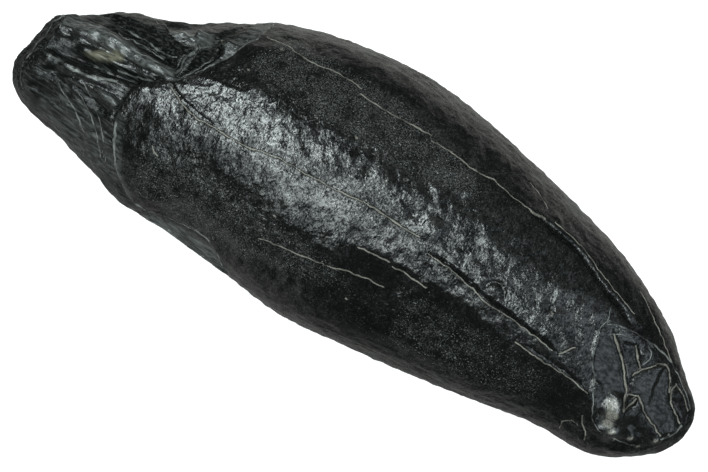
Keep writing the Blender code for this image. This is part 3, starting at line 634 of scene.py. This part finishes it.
def press_flats(points):
    """Cuts the worn and broken flats into the form."""
    points = points.copy()
    for place, normal, depth, (first_x, last_x) in FLATS:
        normal = np.array(normal) / np.linalg.norm(normal)
        seat = plain_form(directions_at([place]))[0] - depth * normal
        proud = np.clip((points - seat) @ normal, 0.0, None)
        inside = smoothstep((points[:, 0] - first_x) / FLAT_FADE)
        inside *= smoothstep((last_x - points[:, 0]) / FLAT_FADE)
        points -= (proud * inside)[:, None] * normal
    return points


def form(directions):
    return press_flats(plain_form(directions))


def on_surface(places, below=False):
    return form(directions_at(places, below))


def nearest_on_route(points, route, reach=math.inf):
    """Each point's distance from the route, and its nearest place, share and heading there.

    Points that are farther than the reach from the route's box are left at that distance.
    """
    distance = np.full(len(points), reach)
    share = np.zeros(len(points))
    nearest = points.copy()
    heading = np.zeros_like(points)
    near_box = (points > route.min(axis=0) - reach) & (points < route.max(axis=0) + reach)
    chosen = np.nonzero(near_box.all(axis=1))[0]
    lengths = np.linalg.norm(np.diff(route, axis=0), axis=1)
    run = np.concatenate([[0.0], np.cumsum(lengths)])
    for i, (start, end) in enumerate(zip(route[:-1], route[1:])):
        along = end - start
        t = np.clip((points[chosen] - start) @ along / lengths[i] ** 2, 0.0, 1.0)
        place = start + t[:, None] * along
        away = np.linalg.norm(points[chosen] - place, axis=1)
        closer = away < distance[chosen]
        which = chosen[closer]
        distance[which] = away[closer]
        share[which] = (run[i] + t[closer] * lengths[i]) / run[-1]
        nearest[which] = place[closer]
        heading[which] = along / lengths[i]
    return distance, nearest, share, heading


def side_of_route(points, normals, nearest, heading):
    """1 for the points left of the route as seen from outside, -1 for those on its right."""
    left = np.cross(normals, heading)
    return np.where(np.sum(left * (points - nearest), axis=1) >= 0.0, 1.0, -1.0)


def faded_ends(share, reach=END_FADE):
    return smoothstep(share / reach) * smoothstep((1.0 - share) / reach)


def valley(distance, half_width):
    return np.exp(-((distance / half_width) ** 2))


def noise_at(points, height, length, stretch=1.0):
    """Lumps of about this height and length, drawn out along X by the stretch."""
    scaled = points / (length * np.array([stretch, 1.0, 1.0]))
    return height * np.array([noise.noise(Vector(place)) for place in scaled])


def broken_edge_directions():
    top = directions_at(BROKEN_EDGE)
    below = directions_at(BROKEN_EDGE_BELOW, below=True)
    return np.vstack([top, below, top[:1]])


def past_broken_edge(points, directions):
    """The distance past the broken edge, positive on the cementum, negative on the core."""
    edge = broken_edge_directions()
    distance, _, _, _ = nearest_on_route(points, form(edge))
    edge_angle = np.arctan2(edge[:-1, 2], edge[:-1, 1])
    angle = np.arctan2(directions[:, 2], directions[:, 1])
    edge_x = np.interp(angle, edge_angle, edge[:-1, 0] * HALF_LENGTH, period=math.tau)
    return np.where(points[:, 0] > edge_x, distance, -distance)


def edge_wall(points):
    """How wide the broken edge's wall is in plan: steep, but a slope on the convex side."""
    slope = smoothstep((points[:, 1] - SLOPE_FROM_Y + SLOPE_BLEND / 2) / SLOPE_BLEND)
    return EDGE_WALL + (EDGE_SLOPE - EDGE_WALL) * slope


def broken_ledge(points, past_edge):
    """The step from the cementum down to the core, which levels out away from the edge."""
    wall = edge_wall(points)
    step = smoothstep(1.0 + past_edge / wall)
    drop = EDGE_DROP * np.exp(-np.clip(-past_edge - wall, 0.0, None) / CORE_LEVELS_OUT)
    rise = EDGE_RISE * np.exp(-np.clip(past_edge, 0.0, None) / CEMENTUM_LEVELS_OUT)
    convex_side = smoothstep((points[:, 1] - CONVEX_FLANK_Y) / CONVEX_FLANK_BLEND)
    concave_side = smoothstep((CONCAVE_FLANK_Y - points[:, 1]) / CONCAVE_FLANK_BLEND)
    left = 1.0 - CONVEX_FLANK_LOSS * convex_side - CONCAVE_FLANK_LOSS * concave_side
    return (rise * step - drop * (1.0 - step)) * left


def ledges(points, normals):
    """The steps down from one layer or block to the next."""
    lift = np.zeros(len(points))
    for drop, wall, reach, places in LEDGES:
        distance, nearest, share, heading = nearest_on_route(points, on_surface(places), 2.0 * reach)
        side = side_of_route(points, normals, nearest, heading)
        lower = smoothstep(-side * distance / wall)
        lift -= drop * lower * valley(distance, reach) * faded_ends(share, LEDGE_END_FADE)
    return lift


def lobe_turned(points):
    """The points turned so that X runs along the core's fibres, which slant on the lower lobe."""
    slant = LOBE_SLANT * smoothstep((LOBE_FROM_Y - points[:, 1]) / LOBE_BLEND)
    x = points[:, 0] * np.cos(slant) - points[:, 1] * np.sin(slant)
    y = points[:, 0] * np.sin(slant) + points[:, 1] * np.cos(slant)
    return np.column_stack([x, y, points[:, 2]])


def core_relief(points, on_core):
    """Ridges, hollows, fibres and strands along the bare core."""
    lift = noise_at(points, *CORE_FIBRES) + noise_at(points, *CORE_LUMPS)
    lift += noise_at(lobe_turned(points), *CORE_STRANDS)
    lift += noise_at(points, *CORE_KNOBS)
    for height, half_width, places in CORE_RELIEF:
        distance, _, share, _ = nearest_on_route(points, on_surface(places), CORE_RELIEF_REACH)
        lift += height * valley(distance, half_width) * faded_ends(share)
    return lift * on_core


def fissures(points, normals):
    """The open fissures, each with a lip raised along one side."""
    lift = np.zeros(len(points))
    for depth, half_width, lip, places in FISSURES:
        distance, nearest, share, heading = nearest_on_route(points, on_surface(places), FISSURE_REACH)
        side = side_of_route(points, normals, nearest, heading)
        beside = (side * lip > 0.0) * smoothstep(distance / LIP_RISE) * np.exp(-distance / LIP_WIDTH)
        groove = valley(distance, half_width)
        lift += (abs(lip) * beside - depth * groove) * faded_ends(share)
    return lift


def crown_cracks(points):
    """The grooves between the crown's blocks."""
    lift = np.zeros(len(points))
    for half_width, places in CROWN_CRACKS:
        distance, _, share, _ = nearest_on_route(points, on_surface(places), CROWN_CRACK_REACH)
        groove = valley(distance, CROWN_CRACK_GROOVE * half_width) * faded_ends(share, CROWN_CRACK_END_FADE)
        lift = np.minimum(lift, -CROWN_CRACK_DEPTH * groove)
    return lift


def underside_grooves(points):
    lift = np.zeros(len(points))
    for places in UNDERSIDE_GROOVES:
        route = on_surface(places, below=True)
        distance, _, share, _ = nearest_on_route(points, route, UNDERSIDE_GROOVE_REACH)
        lift -= UNDERSIDE_GROOVE_DEPTH * valley(distance, UNDERSIDE_GROOVE_HALF_WIDTH) * faded_ends(share)
    return lift


def distance_from(points, place):
    return np.linalg.norm(points - on_surface([place])[0], axis=1)


def round_pit(points):
    """The pit's wall, which fades out on the concave side."""
    wall = valley(distance_from(points, PIT_CENTRE) - PIT_RADIUS, PIT_WALL)
    return -PIT_DEPTH * wall * smoothstep(points[:, 1] - PIT_CENTRE[1] + PIT_OPENING)


def single_bumps(points):
    lift = np.zeros(len(points))
    for height, radius, place in BUMPS:
        lift += height * valley(distance_from(points, place), radius)
    return lift


# Pale chips and painted glints
def pale_chips_and_glints(points):
    share = np.zeros(len(points))
    for radius, place in PALE_CHIPS_AND_GLINTS:
        share = np.maximum(share, valley(distance_from(points, place), radius))
    return share


def inside_outline(points, outline):
    """How far each point is inside the outline as seen from above, negative outside."""
    corners = np.array(outline, float)
    inside = np.zeros(len(points), bool)
    distance = np.full(len(points), np.inf)
    x, y = points[:, 0], points[:, 1]
    for (x0, y0), (x1, y1) in zip(corners, np.roll(corners, -1, axis=0)):
        run_x, run_y = x1 - x0, y1 - y0
        crossed = (y0 > y) != (y1 > y)
        at_x = x0 + (y - y0) * run_x / (run_y if run_y != 0.0 else TINY)
        inside ^= crossed & (x < at_x)
        t = np.clip(((x - x0) * run_x + (y - y0) * run_y) / (run_x**2 + run_y**2), 0.0, 1.0)
        distance = np.minimum(distance, np.hypot(x - x0 - t * run_x, y - y0 - t * run_y))
    return np.where(inside, distance, -distance)


def seen_side(normals):
    """1 where the surface faces up, and 0 where it faces down."""
    return smoothstep((normals[:, 2] + SEEN_TILT) / SEEN_BLEND)


def zone_share(points, normals, zones, softness=ZONE_SOFTNESS):
    """How much each point belongs to the zones outlined from above."""
    share = np.zeros(len(points))
    for amount, outline in zones:
        inside = smoothstep(0.5 + inside_outline(points, outline) / softness)
        share = np.maximum(share, amount * inside * seen_side(normals))
    return share


def press_patches(points, shape, normals):
    """The points with the worn planes laid into them, and how far each belongs to a plane."""
    points = points.copy()
    worn = zone_share(shape, normals, SMOOTH_SPOTS)
    for height, normal, border, smoothness, outline in PATCHES:
        middle = on_surface([np.mean(outline, axis=0)])[0]
        across = (shape - middle)[:, :2] @ np.array(normal[:2]) / normal[2]
        share = smoothstep(0.5 + inside_outline(shape, outline) / border) * seen_side(normals)
        points[:, 2] += share * (middle[2] + height - across - points[:, 2])
        worn = np.maximum(worn, smoothness * share)
    return points, worn


def crack_lines(points, normals, cracks):
    """How near each point is to a crack, from 1 down to 0, and how far across it, in half widths."""
    near = np.zeros(len(points))
    across = np.full(len(points), CRACK_FAR)
    for half_width, places in cracks:
        distance, nearest, share, heading = nearest_on_route(points, on_surface(places), CRACK_REACH)
        ends = CRACK_END_SHARE + (1.0 - CRACK_END_SHARE) * faded_ends(share, CRACK_END_FADE)
        nearness = (1.0 - distance / CRACK_REACH) * ends
        side = side_of_route(points, normals, nearest, heading)
        across = np.where(nearness > near, side * distance / half_width, across)
        near = np.maximum(near, nearness)
    return near, across


def wobbled(points):
    """The points shifted a little by noise, so that lines drawn from them come out ragged."""
    shift = [noise_at(points + WOBBLE_OFFSET * axis, *WOBBLE) for axis in (1, 2, 3)]
    return points + np.column_stack(shift)


def skin_relief(points, normals, directions):
    """The points with all relief added, and the attributes that the material reads."""
    ragged = wobbled(points)
    past_edge = past_broken_edge(ragged, directions)
    on_core = smoothstep(-past_edge)
    lift = noise_at(points, *SWELLS) + noise_at(points, *FACETS)
    lift += broken_ledge(ragged, past_edge)
    lift += ledges(points, normals)
    lift += core_relief(ragged, on_core)
    lift += fissures(ragged, normals)
    lift += underside_grooves(points)
    lift += round_pit(points)
    moved, worn = press_patches(points + lift[:, None] * normals, ragged, normals)
    grain = noise_at(points, *RIPPLES) + noise_at(points, *PEBBLES)
    grain *= (1.0 - WORN_GRAIN_LOSS * worn) * (1.0 - CORE_GRAIN_LOSS * on_core)
    fine_relief = grain + crown_cracks(ragged) + single_bumps(points)
    moved += fine_relief[:, None] * normals
    attributes = {
        "core": on_core,
        "worn": worn,
        # The pale zones and chips carry painted highlights, glints and sheen as well as paler stone
        "pale": zone_share(ragged, normals, PALE_AND_HIGHLIGHT_ZONES),
        # Chips: partly pale chips, partly painted glints
        "chip_and_glint": pale_chips_and_glints(ragged),
        "tan": zone_share(ragged, normals, TAN_ZONES),
        "shiny": zone_share(ragged, normals, SHINY_ZONES, BROAD_SOFTNESS),
        "dull": zone_share(ragged, normals, DULL_ZONES, BROAD_SOFTNESS),
        "dusty": zone_share(ragged, normals, DUSTY_ZONES, BROAD_SOFTNESS),
        "flank": smoothstep((FLANK_TILT - normals[:, 2]) / FLANK_BLEND),
    }
    crack_sets = {
        "hairline": HAIRLINES,
        "crown_crack": CROWN_CRACKS,
        "brink": BRINK_WEAR_AND_HIGHLIGHTS,
        "fissure": [(half_width * FISSURE_DARK, places) for _, half_width, _, places in FISSURES],
    }
    for name, cracks in crack_sets.items():
        attributes[name], attributes[name + "_across"] = crack_lines(ragged, normals, cracks)
    return moved, attributes


def fine_routes():
    """The lines that the triangles gather along."""
    routes = [form(broken_edge_directions())]
    routes += [on_surface(places) for *_, places in LEDGES + FISSURES + CROWN_CRACKS]
    return routes


def wanted_side(points, routes):
    """How long a triangle's side may be at each point."""
    hidden = smoothstep((HIDDEN_HEIGHT - points[:, 2]) / HIDDEN_BLEND)
    side = TOP_SIDE + (UNDER_SIDE - TOP_SIDE) * hidden
    for route in routes:
        distance, _, _, _ = nearest_on_route(points, route, GATHER_REACH)
        grown = CRACK_SIDE + SIDE_GROWTH * np.clip(distance - CRACK_MARGIN, 0.0, None)
        side = np.minimum(side, np.where(distance < GATHER_REACH, grown, side))
    return side


def unit_directions(bm):
    directions = np.array([vertex.co for vertex in bm.verts])
    return directions / np.linalg.norm(directions, axis=1)[:, None]


def place_vertices(bm, points):
    for vertex, point in zip(bm.verts, points):
        vertex.co = point


def split_long_edges(bm, routes):
    """One round of splitting the edges that are too long once laid over the form."""
    points = form(unit_directions(bm))
    ends = np.array([[vertex.index for vertex in edge.verts] for edge in bm.edges])
    starts, stops = points[ends[:, 0]], points[ends[:, 1]]
    lengths = np.linalg.norm(stops - starts, axis=1)
    too_long = np.nonzero(lengths > SPLIT_OVER * wanted_side((starts + stops) / 2, routes))[0]
    bm.edges.ensure_lookup_table()
    bmesh.ops.subdivide_edges(bm, edges=[bm.edges[i] for i in too_long], cuts=1)
    bmesh.ops.triangulate(bm, faces=[face for face in bm.faces if len(face.verts) > 3])
    bm.verts.index_update()


def sphere_for_form():
    """A unit sphere whose triangles are the wanted size once laid over the form."""
    routes = fine_routes()
    bm = bmesh.new()
    bmesh.ops.create_icosphere(bm, subdivisions=SPHERE_SUBDIVISIONS, radius=1.0)
    for _ in range(REFINE_PASSES):
        split_long_edges(bm, routes)
        place_vertices(bm, unit_directions(bm))
    return bm


def fitted_to_box(points):
    """The points scaled to the solid tooth's own box, in metres."""
    low, high = (np.array(corner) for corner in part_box("tooth"))
    span = points.max(axis=0) - points.min(axis=0)
    return low + (points - points.min(axis=0)) / span * (high - low)


def skin_mesh():
    bm = sphere_for_form()
    directions = unit_directions(bm)
    points = form(directions)
    place_vertices(bm, points)
    bmesh.ops.beautify_fill(bm, faces=bm.faces, edges=bm.edges)
    bm.normal_update()
    normals = np.array([vertex.normal for vertex in bm.verts])
    points, attributes = skin_relief(points, normals, directions)
    points[:, 2] = np.clip(points[:, 2], 0.0, None)
    place_vertices(bm, fitted_to_box(points))
    mesh = bpy.data.meshes.new("tooth_skin")
    bm.to_mesh(mesh)
    bm.free()
    for name, values in attributes.items():
        mesh.attributes.new(name, "FLOAT", "POINT").data.foreach_set("value", values)
    mesh.validate()
    mesh.shade_smooth()
    return mesh


def feed(tree, socket, value):
    """Links the socket from another one, or sets it to a value."""
    if isinstance(value, bpy.types.NodeSocket):
        tree.links.new(value, socket)
    else:
        socket.default_value = value


def add_node(tree, kind, inputs=None, **settings):
    """A node with its settings, and each input fed from a socket or a value."""
    node = tree.nodes.new(kind)
    for name, value in settings.items():
        setattr(node, name, value)
    for name, value in (inputs or {}).items():
        feed(tree, node.inputs[name], value)
    return node


def math_node(tree, operation, *values, clamp=False):
    inputs = dict(enumerate(values))
    return add_node(tree, "ShaderNodeMath", inputs, operation=operation, use_clamp=clamp).outputs[0]


def product(tree, *factors, clamp=False):
    """The factors multiplied together, one after another."""
    result = factors[0]
    for factor in factors[1:-1]:
        result = math_node(tree, "MULTIPLY", result, factor)
    return math_node(tree, "MULTIPLY", result, factors[-1], clamp=clamp)


def attribute(tree, name):
    return add_node(tree, "ShaderNodeAttribute", attribute_name=name).outputs["Fac"]


def ramp(tree, value, low, high, to_low=0.0, to_high=1.0):
    """The value taken smoothly from one range to another."""
    inputs = {"Value": value, "From Min": low, "From Max": high, "To Min": to_low, "To Max": to_high}
    return add_node(tree, "ShaderNodeMapRange", inputs, interpolation_type="SMOOTHSTEP").outputs["Result"]


def mixed_colour(tree, share, first, second):
    """The first colour where the share is 0, and the second where it is 1."""
    node = add_node(tree, "ShaderNodeMix", data_type="RGBA")
    for name, value in (("Factor", share), ("A", first), ("B", second)):
        socket = next(s for s in node.inputs if s.name == name and s.enabled)
        feed(tree, socket, (*value, 1.0) if isinstance(value, tuple) else value)
    return next(s for s in node.outputs if s.enabled)


def scaled_place(tree, size, stretch):
    """The place on the object, in steps of this many millimetres times the stretch."""
    place = add_node(tree, "ShaderNodeTexCoord").outputs["Object"]
    scale = tuple(1.0 / (MM * size * share) for share in stretch)
    return add_node(tree, "ShaderNodeVectorMath", {0: place, 1: scale}, operation="MULTIPLY").outputs[0]


def noise_texture(tree, size, detail, stretch=(1.0, 1.0, 1.0)):
    place = scaled_place(tree, size, stretch)
    inputs = {"Vector": place, "Scale": 1.0, "Detail": detail, "Roughness": NOISE_ROUGHNESS}
    return add_node(tree, "ShaderNodeTexNoise", inputs).outputs["Fac"]


def grain_texture(tree, size):
    """Rounded grains: 0 at a grain's middle."""
    place = scaled_place(tree, size, (1.0, 1.0, 1.0))
    inputs = {"Vector": place, "Scale": 1.0, "Smoothness": GRAIN_SMOOTHNESS}
    return add_node(tree, "ShaderNodeTexVoronoi", inputs, feature="SMOOTH_F1").outputs["Distance"]


def distance_across(tree, name):
    """How far the surface is from one set of cracks, in half widths."""
    return math_node(tree, "ABSOLUTE", attribute(tree, name + "_across"))


def crack_line(tree, name, raggedness):
    """1 on the lines of one set of cracks, 0 off them."""
    line = ramp(tree, math_node(tree, "ADD", distance_across(tree, name), raggedness), *LINE_EDGE)
    return product(tree, line, ramp(tree, attribute(tree, name), *LINE_END))


def stone_marks(tree):
    """The patterns, zones and lines that the colour, polish and relief are made from."""
    marks = {name: noise_texture(tree, *pattern) for name, pattern in PATTERNS.items()}
    marks["grains"] = grain_texture(tree, GRAIN_SIZE)
    for name in ("core", "worn", "pale", "tan", "shiny", "dull", "dusty", "flank"):
        marks[name] = attribute(tree, name)
    for name in ("hairline", "crown_crack", "fissure", "brink"):
        marks[name] = crack_line(tree, name, marks["fine"])
    marks["filled_crack"] = math_node(tree, "MAXIMUM", marks["hairline"], marks["crown_crack"])
    marks["chip_and_glint"] = ramp(tree, attribute(tree, "chip_and_glint"), *CHIP_AND_GLINT_EDGE)
    return marks


def stone_colour(tree, marks):
    """Near-black stone, with dust, the bare core, pale places, worn brinks, filled cracks and chips laid
    over it. The pale places, brinks and chips partly carry painted highlights, glints and sheen.
    """
    fine, middle, strands, dusty = (marks[name] for name in ("fine", "middle", "strands", "dusty"))
    speckle = ramp(tree, math_node(tree, "MULTIPLY_ADD", dusty, DUSTY_SPECKLE, fine), *SPECKLE)
    drift = ramp(tree, math_node(tree, "MULTIPLY_ADD", dusty, DUSTY_DRIFT, middle), *DRIFT)
    sediment_and_glint = mixed_colour(tree, middle, *SEDIMENT_AND_GLINT)
    layers = (
        (product(tree, speckle, drift, ramp(tree, dusty, *DUST_SHARE)), DUST),
        (product(tree, ramp(tree, marks["sparks"], *SPECKS), ramp(tree, dusty, *SPECK_SHARE)), SPECK),
        (product(tree, ramp(tree, marks["combed"], *COMBED_LINES), marks["flank"]), COMBED_GREY),
        (marks["core"], mixed_colour(tree, ramp(tree, strands, *CORE_STREAKS), *BARE_CORE)),
        # Pale zones: partly paler stone, partly painted sheen and highlights
        (marks["pale"], mixed_colour(tree, ramp(tree, strands, *PALE_STREAKS), *PALE_AND_SHEEN_GREYS)),
        (product(tree, marks["tan"], ramp(tree, strands, *TAN_STREAKS)), TAN),
        # Pale brink lines: partly wear, partly painted highlights on edges and glints
        (product(tree, marks["brink"], ramp(tree, middle, *BRINK_BREAKS)), BRINK_WEAR_AND_HIGHLIGHT_GREY),
        (product(tree, marks["filled_crack"], ramp(tree, middle, *CRACK_BREAKS), clamp=True), sediment_and_glint),
        # Chips in sediment colour: partly pale chips, partly painted glints
        (product(tree, marks["chip_and_glint"], ramp(tree, fine, *CHIP_AND_GLINT_BREAKS)), sediment_and_glint),
    )
    colour = mixed_colour(tree, marks["coarse"], *BLACK)
    for share, layer in layers:
        colour = mixed_colour(tree, share, colour, layer)
    return colour


def stone_polish(tree, marks):
    """How well the stone shines: patchily on the cementum, more evenly on worn planes and the core."""
    patchy = product(tree, *(ramp(tree, marks[name], *polish) for name, polish in PATCHY_POLISH.items()))
    smooth = math_node(tree, "MAXIMUM", marks["worn"], product(tree, marks["core"], CORE_SMOOTHNESS))
    steady = ramp(tree, marks["streaks"], *STREAK_POLISH)
    polish = add_node(tree, "ShaderNodeMix", {0: smooth, 2: patchy, 3: steady}).outputs[0]
    shiny = ramp(tree, marks["shiny"], *SHINY_POLISH)
    polish = product(tree, polish, shiny, ramp(tree, marks["dull"], *DULL_POLISH))
    polish = math_node(tree, "MAXIMUM", polish, product(tree, marks["chip_and_glint"], CHIP_AND_GLINT_POLISH))
    beside_hairlines = ramp(tree, distance_across(tree, "hairline"), *POLISH_BESIDE_CRACK)
    beside_crown_cracks = ramp(tree, distance_across(tree, "crown_crack"), *POLISH_BESIDE_CRACK)
    in_fissures = ramp(tree, marks["fissure"], *FISSURE_POLISH)
    return product(tree, polish, beside_hairlines, beside_crown_cracks, in_fissures, clamp=True)


def stone_relief(tree, marks):
    """The height of the finest relief, in millimetres."""
    grains = product(tree, marks["grains"], GRAIN_HEIGHT)
    strokes = product(tree, marks["strokes"], STROKE_HEIGHT)
    lumps = product(tree, marks["lumps"], LUMP_HEIGHT)
    fine = math_node(tree, "MULTIPLY_ADD", marks["fine"], FINE_HEIGHT, lumps)
    rough = math_node(tree, "ADD", math_node(tree, "ADD", grains, strokes), fine)
    on_worn = ramp(tree, marks["worn"], *WORN_RELIEF)
    rough = product(tree, rough, on_worn, ramp(tree, marks["core"], *BARE_CORE_RELIEF))
    strands = product(tree, marks["strands"], STRAND_HEIGHT, marks["core"])
    combing = product(tree, marks["combed"], COMBED_HEIGHT, marks["flank"])
    fibres = math_node(tree, "ADD", strands, combing)
    grooves = product(tree, marks["filled_crack"], FILLED_CRACK_HEIGHT)
    return math_node(tree, "ADD", math_node(tree, "ADD", rough, fibres), grooves)


def fossil_material():
    material = bpy.data.materials.new("fossil_tooth")
    material.use_nodes = True
    tree = material.node_tree
    marks = stone_marks(tree)
    relief = {"Strength": 1.0, "Distance": MM, "Height": stone_relief(tree, marks)}
    looks = {
        "Base Color": stone_colour(tree, marks),
        "Roughness": ramp(tree, marks["middle"], *ROUGHNESS),
        "Specular IOR Level": stone_polish(tree, marks),
        "Normal": add_node(tree, "ShaderNodeBump", relief).outputs["Normal"],
    }
    shader = tree.nodes["Principled BSDF"]
    for name, socket in looks.items():
        tree.links.new(socket, shader.inputs[name])
    return material


def build_skin():
    mesh = skin_mesh()
    mesh.materials.append(fossil_material())
    skin = bpy.data.objects.new("tooth_skin", mesh)
    bpy.context.scene.collection.objects.link(skin)
    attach(skin, "root")
    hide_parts("tooth")


def build_floor():
    """A plain pale sheet with some light of its own, so that the tooth throws no dark shadow on it."""
    material = bpy.data.materials.new("floor")
    material.use_nodes = True
    shader = material.node_tree.nodes["Principled BSDF"]
    shader.inputs["Base Color"].default_value = (FLOOR_GREY, FLOOR_GREY, FLOOR_GREY, 1.0)
    shader.inputs["Emission Color"].default_value = (1.0, 1.0, 1.0, 1.0)
    shader.inputs["Emission Strength"].default_value = FLOOR_GLOW
    shader.inputs["Roughness"].default_value = FLOOR_ROUGHNESS
    mesh = bpy.data.meshes.new("floor")
    half = FLOOR_SIDE / 2
    corners = [(-half, -half, 0.0), (half, -half, 0.0), (half, half, 0.0), (-half, half, 0.0)]
    mesh.from_pydata(corners, [], [(0, 1, 2, 3)])
    mesh.materials.append(material)
    floor = bpy.data.objects.new("floor", mesh)
    floor.visible_glossy = False
    bpy.context.scene.collection.objects.link(floor)


def build_camera():
    camera = bpy.data.objects.new("camera", bpy.data.cameras.new("camera"))
    camera.data.lens = LENS
    camera.data.sensor_width = SENSOR
    camera.data.clip_end = CAMERA_SIGHT
    height = PICTURE_HEIGHT_LEVEL + PICTURE_WIDTH * LENS / SENSOR
    camera.location = Vector((*PICTURE_MIDDLE, height)) * MM
    camera.rotation_euler = (0.0, 0.0, PICTURE_TURN)
    bpy.context.scene.collection.objects.link(camera)
    bpy.context.scene.camera = camera


def build_lights():
    """A dim round room with a few large soft lights in it."""
    world = bpy.data.worlds.new("room")
    world.use_nodes = True
    tree = world.node_tree
    direction = add_node(tree, "ShaderNodeTexCoord").outputs["Generated"]
    total = (ROOM_LIGHT, ROOM_LIGHT, ROOM_LIGHT)
    for aim, half_angle, soft, brightness, colour in DOME_LIGHTS:
        aim = Vector(aim).normalized()
        facing = add_node(tree, "ShaderNodeVectorMath", {0: direction, 1: aim}, operation="DOT_PRODUCT")
        outer = math.cos(math.radians(half_angle + soft))
        inner = math.cos(math.radians(half_angle - soft))
        share = ramp(tree, facing.outputs["Value"], outer, inner, 0.0, brightness)
        lit = add_node(tree, "ShaderNodeVectorMath", {0: colour, "Scale": share}, operation="SCALE")
        total = add_node(tree, "ShaderNodeVectorMath", {0: total, 1: lit.outputs[0]}).outputs[0]
    tree.links.new(total, tree.nodes["Background"].inputs["Color"])
    bpy.context.scene.world = world


def set_colour_handling():
    settings = bpy.context.scene.view_settings
    settings.view_transform = "Standard"
    settings.look = "None"
    settings.exposure = 0.0
    settings.gamma = 1.0


build_camera()
build_skin()
build_floor()
build_lights()
set_colour_handling()
